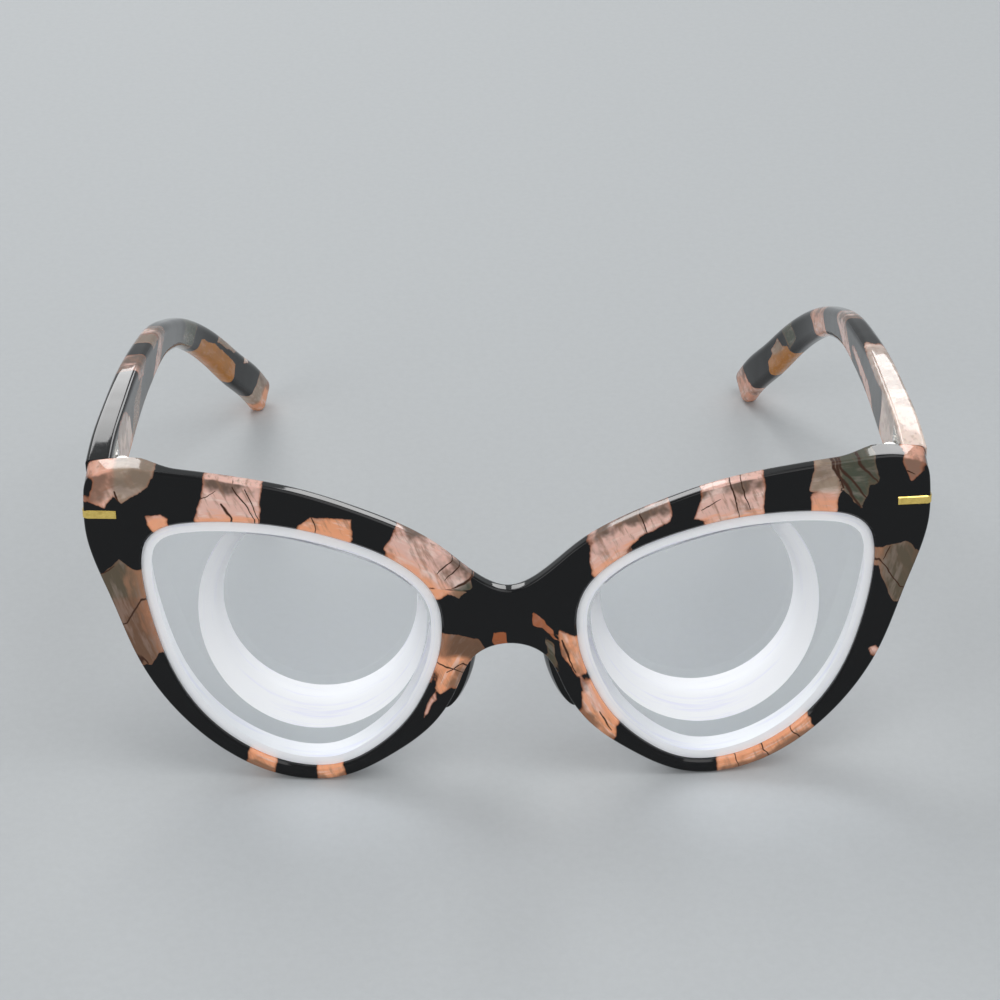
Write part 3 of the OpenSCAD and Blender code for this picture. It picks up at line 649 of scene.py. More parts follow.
@dataclass(frozen=True)
class Acetate:
    """Polished black acetate with rose patches, which the points' values place, with a painted glow near the
    lens and a painted highlight on the outer edge.

    Args:
        black: colour of the dark ground.
        seam: colour of the thin border of a patch.
        line: colour of the lines drawn in the patches.
        pearl: colour of a patch's pale layers.
        smoke: colour of its dark clouds.
        haze: colour of its thin streaks.
        painted_glow: colour of the glow painted near the lens and along the temples' lower edge, which stands
            for light shining through the acetate.
        rust: colour of its outer zone.
        rough: roughness of the polish.
        sway: how far the drawn lines wander, in millimetres.
    """

    black: tuple[float, float, float] = (0.003, 0.003, 0.0035)
    seam: tuple[float, float, float] = (0.16, 0.045, 0.016)
    line: tuple[float, float, float] = (0.05, 0.018, 0.008)
    pearl: tuple[float, float, float] = (0.93, 0.74, 0.66)
    smoke: tuple[float, float, float] = (0.09, 0.06, 0.04)
    haze: tuple[float, float, float] = (0.27, 0.15, 0.10)
    # Painted glow: the colour of light shining through the acetate near the lens
    painted_glow: tuple[float, float, float] = (0.90, 0.40, 0.22)
    rust: tuple[float, float, float] = (0.42, 0.13, 0.05)
    rough: float = 0.05
    sway: float = 0.9

    def lines(self, tree: Tree) -> Socket:
        """How strongly the drawn lines show at a point.

        Args:
            tree: the material's tree.

        Returns:
            A number from 0 to 1.
        """
        spot = tree.value("spot", "Vector")
        drift = tree.noise(tree.place((0.35, 0.35, 0.35)), part="Color")
        moved = tree.vector("MULTIPLY_ADD", drift, (self.sway, self.sway, 0), spot)
        moved = tree.vector("SUBTRACT", moved, (self.sway / 2, self.sway / 2, 0))
        group = line_group()
        # Distance to the nearest line in half widths, and no more than this where none is near
        least = 9.0
        for u0, v0, u1, v1, half in FRONT_LINES:
            drawn = tree.add("Group", node_tree=group)
            tree.link(moved, drawn, "Spot")
            drawn.inputs["From"].default_value = (u0, v0, 0)
            drawn.inputs["Step"].default_value = (u1 - u0, v1 - v0, 0)
            drawn.inputs["Half"].default_value = half
            least = tree.math("MINIMUM", drawn.outputs["Away"], least)
        return tree.fade(least, 0.5, 1.5, 1, 0)

    def material(self, wear: bpy.types.NodeTree) -> bpy.types.Material:
        """Makes the material.

        Args:
            wear: the shared wear effect.

        Returns:
            The acetate.
        """
        material, tree, out = new_material("acetate")
        across, stain = tree.value("across", "Fac"), tree.value("stain", "Color")
        # The patches' outline wanders and is a little frayed
        wander = tree.math("SUBTRACT", tree.noise(tree.place((0.4, 0.4, 0.35))), 0.5)
        fray = tree.math("SUBTRACT", tree.noise(tree.place((3.5, 1.0, 1.2), (0, 22, 0)), rough=0.6), 0.5)
        tone = tree.math("MULTIPLY_ADD", fray, 0.22, tree.value("tone", "Fac"))
        edge = tree.math("MULTIPLY_ADD", wander, 1.1, tone)
        # A light patch has all its layers and a dark one few of them; a cream one gets little smoke, which
        # keeps its painted brightness of light shining through
        green = tree.add("SeparateColor", {0: stain}).outputs["Green"]
        light = tree.fade(green, 0.12, 0.5, 0.2, 1)
        dull = tree.times(tree.fade(green, 0.5, 0.7, 1, 0.5), light)
        # Pale layers along the rim
        spot = tree.add("SeparateXYZ", {0: tree.value("spot", "Vector")}).outputs
        level = tree.add("CombineXYZ", {0: tree.times(across, 5.5), 1: tree.times(spot[0], 0.16),
                                        2: tree.times(spot[1], 0.16)}).outputs[0]
        layer = tree.noise(level, detail=3, rough=0.6)
        colour = tree.mix(tree.times(tree.fade(layer, 0.5, 0.66, 0, 0.55), light), stain, self.pearl)
        # Clouds of smoke towards the outer edge, thinned on the outer edge all round as a painted highlight
        # of light falling on the top faces from above, and streaks
        cloud = tree.noise(tree.place((0.22, 0.22, 0.2), (0, 20, 0)), detail=3, rough=0.55)
        outer = tree.math("SUBTRACT", tree.fade(across, 0.4, 0.85, -0.1, 0.14),
                          tree.fade(across, 0.93, 1.0, 0, 0.3))
        murk = tree.fade(tree.math("ADD", cloud, outer), 0.43, 0.66, 0, 0.9)
        colour = tree.mix(tree.times(murk, dull), colour, self.smoke)
        streak = tree.noise(tree.place((1.1, 0.5, 0.2), (0, 24, 0)), detail=4, rough=0.6)
        colour = tree.mix(tree.times(tree.fade(streak, 0.48, 0.68, 0, 0.65), dull), colour, self.haze)
        # A painted glow near the lens, which stands for light shining through the acetate there, then a rusty
        # outer zone, the drawn lines and a thin border
        near = tree.math("MULTIPLY_ADD", tree.math("SUBTRACT", layer, 0.5), 0.7, across)
        glow = tree.times(tree.fade(near, -0.02, 0.28, 0.85, 0), tree.math("ADD", light, 0.15))
        colour = tree.mix(glow, colour, self.painted_glow)
        colour = tree.mix(tree.times(tree.fade(edge, -0.55, -0.1, 0, 0.45), light), colour, self.rust)
        colour = tree.mix(self.lines(tree), colour, self.line)
        colour = tree.mix(tree.times(tree.fade(edge, -0.2, -0.05, 0, 0.7), light), colour, self.seam)
        colour = tree.mix(tree.fade(edge, -0.07, 0.07, 1, 0), self.black, colour)
        worn = tree.add("Group", node_tree=wear)
        rough = tree.math("ADD", worn.outputs["Rough"], self.rough)
        bump = tree.add("Bump", {"Height": worn.outputs["Height"], "Strength": 0.35, "Distance": 0.0002})
        shader = tree.add("BsdfPrincipled", {
            "Base Color": colour, "Roughness": rough, "IOR": 1.49, "Normal": bump.outputs[0],
            "Specular IOR Level": 0.3, "Subsurface Weight": 0.15, "Subsurface Radius": (1.0, 0.45, 0.25),
            "Subsurface Scale": 0.001})
        tree.link(shader.outputs[0], out, "Surface")
        return material


@dataclass(frozen=True)
class ClearGlass:
    """Polished lens surface with an anti-reflection coating.

    Args:
        ior: refractive index.
        film: thickness of the coating in nanometres.
        film_ior: its refractive index.
        body: colour that it passes on.
        shade: colour of the light that it lets straight through to the ground faces.
        wipe: share of the wear that shows on it.
    """

    ior: float = 1.6
    film: float = 330
    film_ior: float = 1.38
    body: tuple[float, ...] = (0.97, 0.985, 1.0, 1)
    shade: tuple[float, ...] = (0.95, 0.97, 1.0, 1)
    wipe: float = 0.12

    def material(self, wear: bpy.types.NodeTree) -> bpy.types.Material:
        """Makes the material, which lets lamp light straight through so that the ground faces are lit.

        Args:
            wear: the shared wear effect.

        Returns:
            The clear glass.
        """
        material, tree, out = new_material("lens_clear")
        worn = tree.add("Group", node_tree=wear)
        rough = tree.times(worn.outputs["Rough"], self.wipe)
        shader = tree.add("BsdfPrincipled", {
            "Base Color": self.body, "Roughness": rough, "IOR": self.ior, "Transmission Weight": 1.0,
            "Thin Film Thickness": self.film, "Thin Film IOR": self.film_ior})
        through = tree.add("BsdfTransparent", {"Color": self.shade})
        ray = tree.add("LightPath").outputs["Is Shadow Ray"]
        mix = tree.add("MixShader", {0: ray, 1: shader.outputs[0], 2: through.outputs[0]})
        tree.link(mix.outputs[0], out, "Surface")
        return material


@dataclass(frozen=True)
class GroundGlass:
    """Ground lens surface, white from the light that it scatters.

    Args:
        white: its colour.
        band: colour of the grinding marks that run round the lens.
        grain: colour of its fine grain.
        through: share of light that it passes on.
    """

    white: tuple[float, float, float] = (0.95, 0.955, 0.97)
    band: tuple[float, float, float] = (0.82, 0.82, 0.97)
    grain: tuple[float, float, float] = (0.72, 0.74, 0.82)
    through: float = 0.12

    def material(self, wear: bpy.types.NodeTree) -> bpy.types.Material:
        """Makes the material.

        Args:
            wear: the shared wear effect.

        Returns:
            The ground glass.
        """
        material, tree, out = new_material("lens_ground")
        grain = tree.noise(tree.place((7, 7, 7)), detail=3, rough=0.7)
        lap = tree.vector("MULTIPLY", tree.value("lap", "Vector"), (1.6, 0.05, 0.05))
        band = tree.fade(tree.noise(lap, detail=4, rough=0.65), 0.52, 0.7, 0, 0.6)
        colour = tree.mix(band, self.white, self.band)
        colour = tree.mix(tree.fade(grain, 0.5, 0.75, 0, 0.1), colour, self.grain)
        bump = tree.add("Bump", {"Height": grain, "Strength": 0.3, "Distance": 0.00004})
        solid = tree.add("BsdfPrincipled", {
            "Base Color": colour, "Roughness": 0.5, "IOR": 1.5, "Specular IOR Level": 0.2,
            "Normal": bump.outputs[0]})
        passed = tree.add("BsdfTranslucent", {"Color": colour})
        mix = tree.add("MixShader", {0: self.through, 1: solid.outputs[0], 2: passed.outputs[0]})
        tree.link(mix.outputs[0], out, "Surface")
        return material


@dataclass(frozen=True)
class Metal:
    """Worn metal with brushed grain.

    Args:
        name: name of the material.
        colour: its colour.
        shade: its colour where it is tarnished.
        rough: roughness of the bare metal.
        brushed: how strong the grain is.
    """

    name: str
    colour: tuple[float, float, float]
    shade: tuple[float, float, float]
    rough: float
    brushed: float

    def material(self, wear: bpy.types.NodeTree) -> bpy.types.Material:
        """Makes the material.

        Args:
            wear: the shared wear effect.

        Returns:
            The metal.
        """
        material, tree, out = new_material(self.name)
        worn = tree.add("Group", node_tree=wear)
        grain = tree.noise(tree.place((0.8, 14, 14)), detail=3, rough=0.6)
        spots = tree.noise(tree.place((1.1, 1.1, 1.1)), detail=4, rough=0.65)
        colour = tree.mix(tree.fade(spots, 0.45, 0.75, 0, 0.6), self.colour, self.shade)
        bare = tree.fade(grain, 0.3, 0.7, self.rough, self.rough + 0.12)
        rough = tree.math("ADD", bare, worn.outputs["Rough"])
        bump = tree.add("Bump", {"Height": grain, "Strength": self.brushed, "Distance": 0.00002})
        shader = tree.add("BsdfPrincipled", {
            "Base Color": colour, "Metallic": 1.0, "Roughness": rough, "Normal": bump.outputs[0]})
        tree.link(shader.outputs[0], out, "Surface")
        return material


@dataclass(frozen=True)
class Paper:
    """Plain pale studio floor, which far off looks as pale as it is near the object.

    Args:
        colour: its colour.
        fibre: share of it that its fibres keep.
        far: distances in millimetres between which it goes over to its plain colour.
    """

    colour: tuple[float, float, float] = PALE
    fibre: float = 0.9
    far: tuple[float, float] = (350, 900)

    def material(self) -> bpy.types.Material:
        """Makes the material, which is matt and so shows no wear.

        Returns:
            The floor's material.
        """
        material, tree, out = new_material("paper")
        fibre = tree.noise(tree.place((0.6, 0.6, 0.6)), detail=5, rough=0.7)
        dark = tuple(self.fibre * c for c in self.colour)
        colour = tree.mix(tree.fade(fibre, 0.3, 0.7, 0, 0.35), self.colour, dark)
        shader = tree.add("BsdfPrincipled", {"Base Color": colour, "Roughness": 0.85})
        away = tree.vector("LENGTH", tree.place((1, 1, 1)), part="Value")
        plain = tree.add("Emission", {"Color": (*self.colour, 1), "Strength": PALE_GLOW})
        share = tree.times(tree.fade(away, *self.far), tree.seen())
        mix = tree.add("MixShader", {0: share, 1: shader.outputs[0], 2: plain.outputs[0]})
        tree.link(mix.outputs[0], out, "Surface")
        return material


@dataclass
class Front:
    """The acetate front: rims, bridge and end pieces in one piece.

    Args:
        bridge_w: gap between the lens openings.
        rim_w: width of the rim under the lens.
        bridge_top: height of the bridge's upper edge.
        bridge_arch: height of its arch.
        thick: thickness.
        face_r: rounding of the outer edge at the face.
        back_r: rounding of the outer edge at the back.
        lip: bevel at the lens opening.
        lean: angle at which the front leans back.
        wrap: angle at which the sides wrap back.
        wrap_bend: half width over which the wrap bends.
        end_t: depth of the end piece at the hinge.
        swell: where the back starts to swell and over what length, from the side and then from the top.
        swell_over: how much it would swell beyond the end piece's depth if it weren't cut.
        groove: depth, half width and place of the lens groove.
        seat: width of the flat back next to the lens, and its largest share of the rim.
        corner: place of the end piece's corner under the largest width and height.
        pull: how strongly the back of the outer edge is drawn to it, and from how far.
        pin_out: distance of the hinge pin behind the plane on which the temples close.
        cut: how far the back stops short of that plane.
        cut_from: distance from the middle at which the plane starts.
        margin: least distance from an outline at which the patches are read.
        steps: points taken between two knots of an outline.
        rows: points taken across the face, down the outer edge and across the back.
        outline: knots from the opening's nasal side and lowest point, and the step to the outer edge.
        bridge_side: knots of the opening beside the bridge.
    """

    bridge_w: float = 23
    rim_w: float = 2.7
    bridge_top: float = 37.5
    bridge_arch: float = 27.3
    thick: float = 3.8
    face_r: float = 0.45
    back_r: float = 1.9
    lip: float = 0.35
    lean: float = 5
    wrap: float = 4
    wrap_bend: float = 10
    end_t: float = 5.2
    swell: tuple[float, float, float, float] = (16, 9, 24, 12)
    swell_over: float = 2.2
    groove: tuple[float, float, float] = (0.9, 0.95, 1.9)
    seat: tuple[float, float] = (1.7, 0.35)
    corner: tuple[float, float] = (0.6, 0.1)
    pull: tuple[float, float] = (0.75, 6)
    pin_out: float = 2.4
    cut: float = 0.04
    cut_from: float = 40
    margin: float = 0.9
    steps: int = 18
    rows: tuple[int, int, int] = (23, 7, 15)
    outline: tuple = (
        (5.3, 38.4, -11.2, -1.1), (9.1, 40.9, -8.9, 1.5), (17.2, 44.1, -4.1, 4.9), (25.5, 46.1, -1.6, 6.5),
        (34.8, 47.0, 0.7, 7.8), (43.0, 46.7, 5.1, 9.7), (47.2, 45.6, 8.3, 10.9), (49.7, 43.4, 9.1, 11.6),
        (50.7, 40.4, 9.2, 10.5), (50.8, 36.0, 9.1, 8.5), (49.4, 27.2, 7.1, 5.4), (46.4, 17.6, 5.7, 2.3),
        (41.5, 9.6, 3.8, -0.3), (34.5, 3.6, 2.2, -1.8), (26.3, 0.3, 0.9, -2.4), (18.5, 0.4, -0.3, -2.3),
        (11.3, 4.4, -1.8, -1.9), (6.0, 10.0, -4.1, -1.1), (2.4, 16.8, -4.6, -1.1), (0.5, 22.7, -6.2, -0.3))
    bridge_side: tuple = ((0.0, 26.9), (0.2, 30.6), (2.0, 35.0))

    def __post_init__(self) -> None:
        """Works out the opening, the outer edge and the place of the front in space."""
        table = np.array(self.outline)
        nasal = np.array(self.bridge_side)
        base = np.array([self.bridge_w / 2, self.rim_w])
        knots = np.vstack([nasal[2:], table[:, :2], nasal[:2]]) + base
        self.opening = closed_curve(knots, self.steps)
        self.out = outward(self.opening)
        self.count = len(self.opening)
        edge = np.vstack([[0, self.bridge_top], table[:, :2] + table[:, 2:] + base, [0, self.bridge_arch]])
        loop = closed_curve(np.vstack([edge, edge[-2:0:-1] * [-1, 1]]), self.steps)
        self.rim_count = (len(edge) - 1) * self.steps + 1
        self.rim = loop[:self.rim_count]
        self.rim_out = outward(loop)[:self.rim_count]
        self.rim[[0, -1], 0] = 0
        self.rest = self.count - self.rim_count
        self.edge_out = np.vstack([self.rim_out, np.zeros((self.rest, 2))])
        self.half_w = self.rim[:, 0].max()
        self.top = self.rim[:, 1].max()
        self.shift = np.zeros(2)
        low, _ = box_mm("frame_front")
        flat = self.place(*self.section().reshape(-1, 3).T)
        self.shift = low[1:] - flat[:, 1:].min(axis=0)
        pin_low, pin_high = box_mm("hinge_screw_left")
        self.butt = (pin_low + pin_high)[1] / 2 - self.pin_out

    def wrap_y(self, u: Array) -> Array:
        """How far the wrap sets a point back: a parabola near the middle, then a straight slope.

        Args:
            u: across.

        Returns:
            Depth for each point.
        """
        slope = math.tan(math.radians(self.wrap))
        far = np.abs(u)
        return np.where(far < self.wrap_bend, slope * u * u / (2 * self.wrap_bend),
                        slope * (far - self.wrap_bend / 2))

    def place(self, u: Array, v: Array, w: Array) -> Array:
        """Place in space of points of the front: the wrap sets them back and the lean turns them about X.

        Args:
            u: across.
            v: up the front.
            w: behind its face.

        Returns:
            Points in millimetres.
        """
        c, s = math.cos(math.radians(self.lean)), math.sin(math.radians(self.lean))
        depth = w + self.wrap_y(u)
        return np.stack([u, depth * c + v * s + self.shift[0], v * c - depth * s + self.shift[1]], axis=-1)

    def depth_at(self, u: Array, v: Array, y: float) -> Array:
        """Depth behind the face at which the front meets a plane across Y."""
        c, s = math.cos(math.radians(self.lean)), math.sin(math.radians(self.lean))
        return (y - self.shift[0] - v * s) / c - self.wrap_y(u)

    def back_at(self, p: Array) -> Array:
        """Depth of the back, which swells to the hinge seat of the end piece.

        Args:
            p: points of the front's plane.

        Returns:
            Depth for each point.
        """
        start_u, over_u, start_v, over_v = self.swell
        from_side = smooth((p[:, 0] - self.half_w + start_u) / over_u)
        from_top = smooth((p[:, 1] - self.top + start_v) / over_v)
        return self.thick + (self.end_t - self.thick + self.swell_over) * (from_side * from_top)

    def section(self) -> Array:
        """Points of both outlines and the surfaces between them.

        Each row runs round the rim at one place of its cross-section: across the face, round the outer edge,
        over the back and through the groove.

        Returns:
            Array of points by place round the rim and place in the cross-section, with u, v, w.
        """
        n, a = self.out, self.opening
        share = (np.arange(self.rest) + 1)[:, None] / (self.rest + 1)
        top, arch = self.bridge_top, self.bridge_arch

        def edge(inset: float) -> Array:
            """Outer edge moved in, and carried up the mirror plane between its two ends."""
            up = np.hstack([0 * share, arch + inset + (top - arch - 2 * inset) * share])
            return np.vstack([self.rim - inset * self.rim_out, up])

        e, m = edge(0), self.edge_out
        corner = np.array([self.half_w, self.top]) - self.corner
        pull = self.pull[0] * np.clip(1 - np.linalg.norm(e - corner, axis=1) / self.pull[1], 0, None)[:, None]
        g = e + pull * (corner - e)
        wide = np.linalg.norm(e - a, axis=1)
        back = self.back_at(e)
        r = np.minimum(self.back_r, wide / 2)
        lip = a + self.lip * n
        seat = a + np.minimum(self.seat[0], self.seat[1] * wide)[:, None] * n
        rows = []

        def row(p: Array, w: Array | float) -> None:
            """Adds one place of the cross-section."""
            rows.append(np.hstack([p, np.broadcast_to(np.asarray(w, float), (len(p),))[:, None]]))

        front_edge, back_edge = edge(self.face_r), edge(self.back_r)
        back_edge[:self.rim_count] = (g - r[:, None] * m)[:self.rim_count]
        face, side, rear = (np.linspace(0, 1, count) for count in self.rows)
        for t in face:
            row(lip + t * (front_edge - lip), 0)
        first = len(rows) - 1
        for angle in np.radians(np.arange(18, 91, 18)):
            row(front_edge + self.face_r * math.sin(angle) * m, self.face_r * (1 - math.cos(angle)))
        for t in side[1:]:
            row(e + t * (g - e), self.face_r + t * (back - r - self.face_r))
        for angle in np.radians(np.arange(12, 84, 12)):
            row(g - (r * (1 - math.cos(angle)))[:, None] * m, back - r * (1 - math.sin(angle)))
        # These rows lie on the mirror plane at the bridge, where the two halves are open to each other
        self.outer = (first, len(rows))
        for t in rear:
            row(back_edge + t * (seat - back_edge), back)
        deep, half, at = self.groove
        row((seat + lip) / 2, (back + self.thick) / 2)
        row(lip, self.thick)
        row(a, self.thick - self.lip)
        row(a, at + half)
        row(a + deep * n, at)
        row(a, at - half)
        row(a, self.lip)
        return np.stack(rows, axis=1)

    def values(self, section: Array, side: Side) -> dict[str, Array]:
        """Values that the acetate reads: its patches, the place in the plane and the share across the rim.

        The patches are read no nearer an outline than a margin, so that they run over the edges.

        Args:
            section: points of one half of the front, by place round the rim and in the cross-section.
            side: the wearer's side.

        Returns:
            The values by name.
        """
        m = self.edge_out[:, None]
        e = np.vstack([self.rim, np.zeros((self.rest, 2))])[:, None]
        p = section[..., :2]
        n, a = self.out[:, None], self.opening[:, None]
        to_edge, to_lens = ((e - p) * m).sum(-1), ((p - a) * n).sum(-1)
        from_edge = np.clip(self.margin - to_edge, 0, None)[..., None]
        from_lens = np.clip(self.margin - to_lens, 0, None)[..., None]
        held = (p - from_edge * m + from_lens * n).reshape(-1, 2)
        across = np.clip(to_lens / np.maximum(np.linalg.norm(e - a, axis=-1), 1), 0, 1).ravel()
        spot = np.hstack([held * [side.value, 1], 0 * held[:, :1]])
        return {**pattern(held, FRONT_PATCHES[side]), "across": across, "spot": spot}

    def build(self, material: bpy.types.Material) -> bpy.types.Object:
        """Makes the front: the section swept round both rims, cut flat where the temples close.

        Args:
            material: the acetate.

        Returns:
            The piece.
        """
        section = self.section()
        count, size = section.shape[:2]
        u, v, w = section[..., 0], section[..., 1], section[..., 2]
        limit = self.depth_at(u, v, self.butt - self.cut)
        section[..., 2] = np.where(u > self.cut_from, np.minimum(w, limit), w)
        quads = grid_faces(count, size, close_rows=True)
        i, j = np.divmod(np.arange(len(quads)), size)
        quads = quads[(i < self.rim_count - 1) | (j < self.outer[0]) | (j >= self.outer[1])]
        half = self.place(*section.reshape(-1, 3).T)
        # Both halves in one list of points, the right one after the left one
        points, faces, values = [], [], []
        for side in Side:
            p, (f,) = on_side(side, half, [quads[:, ::-1]])
            faces.append(f + len(points) * len(half))
            points.append(p)
            values.append(self.values(section, side))
        both = {key: np.concatenate([one[key] for one in values]) for key in values[0]}
        skin = Skin(np.vstack(points), [np.vstack(faces)], None, both)
        piece = welded(skin).piece("front", [material])
        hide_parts("frame_front")
        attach(piece, "front")
        return piece


@dataclass
class Lens:
    """A thick myodisc lens: a clear carrier with a bowl ground into its front.

    Args:
        front: the front that holds it.
        clear: clearance in the rim.
        set_in: depth of its face behind the front's.
        edge_t: thickness at its edge.
        face_chamfer: width and depth of the ground chamfer round its face.
        back_chamfer: width of the one round its back.
        mouth: half sizes of the bowl's mouth.
        floor: half sizes of its clear floor.
        bowl: middle of the mouth, from the opening's nasal side and lowest point.
        floor_shift: the floor's middle from the mouth's.
        bevel: depth of the bevel round the mouth, and its share of the wall's width.
        sag: how much the floor's rim stands above its middle, and the wall's foot above that.
        centre_t: thickness at the bowl's centre.
        hollow: hollow of the back.
        wall: where the bowl's wall starts to rise, as a share of its width, and how much it curves in.
        least: least width of the carrier round the mouth, and of the wall.
        steps: points taken across the floor and the back, up the wall and along the edge.
    """

    front: Front
    clear: float = 0.06
    set_in: float = 0.5
    edge_t: float = 8
    face_chamfer: tuple[float, float] = (1.8, 0.5)
    back_chamfer: float = 2
    mouth: tuple[float, float] = (19.6, 22.1)
    floor: tuple[float, float] = (16.7, 17.3)
    bowl: tuple[float, float] = (22, 29.7)
    floor_shift: tuple[float, float] = (-1.1, 0.9)
    bevel: tuple[float, float] = (1.4, 0.36)
    sag: tuple[float, float] = (0.5, 1)
    centre_t: float = 1.4
    hollow: float = 0.9
    wall: tuple[float, float] = (0.15, 0.06)
    least: tuple[float, float] = (0.4, 1.2)
    steps: tuple[int, int, int] = (14, 8, 6)

    @property
    def back(self) -> float:
        """Depth of the back's edge behind the front's face."""
        return self.set_in + self.edge_t

    @property
    def deep(self) -> float:
        """Depth of the bowl's middle."""
        return self.back - self.hollow - self.centre_t

    def rows(self) -> list[tuple[str, float, float, int]]:
        """Rings of the lens from the middle of the bowl to the middle of the back.

        Returns:
            For each ring its kind, place, depth, and the material of the band after it.
        """
        back, deep = self.back, self.deep
        groove_deep, half_w, at = self.front.groove
        sag, foot = self.sag
        start, curve = self.wall
        width, depth = self.face_chamfer
        disc, wall, rim = self.steps
        rings = [("floor", t, deep - sag * t * t, 0) for t in np.linspace(0, 1, disc)[1:-1]]
        crease = np.array([1 - self.bevel[1], self.set_in + self.bevel[0]])
        low = np.array([start, deep - sag - foot])
        rings.append(("wall", 0, deep - sag, 1))
        for t in np.linspace(0, 1, wall)[:-1]:
            s, w = low + t * (crease - low) - [curve * math.sin(math.pi * t), 0]
            rings.append(("wall", s, w, 1))
        rings += [("wall", s, w, 1) for s, w in (crease, (crease + [1, self.set_in]) / 2)]
        rings.append(("wall", 1, self.set_in, 0))
        rings.append(("carrier", 0.5, self.set_in, 0))
        rings.append(("rim", -width, self.set_in, 1))
        rings += [("rim", -self.clear, w, 1) for w in (self.set_in + depth, at - half_w)]
        rings.append(("rim", groove_deep - self.clear, at, 1))
        rings.append(("rim", -self.clear, at + half_w, 1))
        edge_end = back - self.back_chamfer
        rings += [("rim", -self.clear, w, 1) for w in np.linspace(at + half_w, edge_end, rim)[1:]]
        rings.append(("rim", -self.back_chamfer, back, 0))
        rings += [("back", t, back - self.hollow * (1 - t * t), 0) for t in np.linspace(1, 0, disc)[1:-1]]
        return rings

    def laps(self, rings: list[Array], ends: Array) -> Array:
        """Length over the lens across its rings, with the place, so that grinding marks run round it.

        Args:
            rings: points of each ring.
            ends: middles of the bowl's floor and of the back.

        Returns:
            Three numbers for each point.
        """
        stack = np.stack(rings)
        step = np.linalg.norm(np.diff(stack, axis=0), axis=-1).mean(axis=1)
        along = np.concatenate([[0], np.cumsum(step)])
        first = np.broadcast_to(along[:, None, None], (*stack.shape[:2], 1))
        lap = np.concatenate([first, stack[..., [0, 2]]], axis=-1).reshape(-1, 3)
        return np.vstack([lap, np.hstack([[[0], [along[-1]]], ends[:, [0, 2]]])])

    def build(self, side: Side, glass: bpy.types.Material, ground: bpy.types.Material) -> bpy.types.Object:
        """Makes the lens: rings about the bowl's centre that go from an ellipse to the rim's outline.

        Args:
            side: the wearer's side.
            glass: material of the polished faces.
            ground: material of the ground ones.

        Returns:
            The piece.
        """
        a, n = self.front.opening, self.front.out
        centre = np.array([self.front.bridge_w / 2, self.front.rim_w]) + self.bowl
        floor_mid = centre + self.floor_shift
        edge = a - self.face_chamfer[0] * n
        reach = np.linalg.norm(edge - centre, axis=1)
        d = unit(edge - centre)
        carrier, wall = self.least
        mouth = np.minimum(1 / np.linalg.norm(d / self.mouth, axis=1), reach - carrier)
        floor = np.minimum(1 / np.linalg.norm(d / self.floor, axis=1), mouth - wall - d @ self.floor_shift)
        foot = floor_mid + d * floor[:, None]
        rings, kinds = [], []
        for kind, s, w, band in self.rows():
            if kind == "rim":
                p = a + s * n
            elif kind == "floor":
                p = floor_mid + d * floor[:, None] * s
            elif kind == "back":
                p = centre + (a - self.back_chamfer * n - centre) * s
            elif kind == "wall":
                p = foot + (centre + d * mouth[:, None] - foot) * s
            else:
                p = centre + d * (mouth + (reach - mouth) * s)[:, None]
            rings.append(self.front.place(p[:, 0], p[:, 1], np.full(len(p), w)))
            kinds.append(band)
        count, last = len(a), (len(rings) - 1) * len(a)
        depths = np.array([self.deep, self.back - self.hollow])
        ends = self.front.place(*np.stack([floor_mid, centre], axis=1), depths)
        points = np.vstack(rings + [ends])
        points, faces = on_side(side, points, [
            grid_faces(len(rings), count), fan_faces(len(points) - 2, 0, count),
            fan_faces(len(points) - 1, last, count, turned=True)])
        tags = np.concatenate([np.repeat(kinds[:-1], count), np.zeros(2 * count, int)])
        piece = Skin(points, faces, tags, {"lap": self.laps(rings, ends)}).piece(
            f"lens_{side.tag}_visual", [glass, ground], sharp=24)
        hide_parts(f"lens_{side.tag}")
        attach(piece, "front")
        return piece


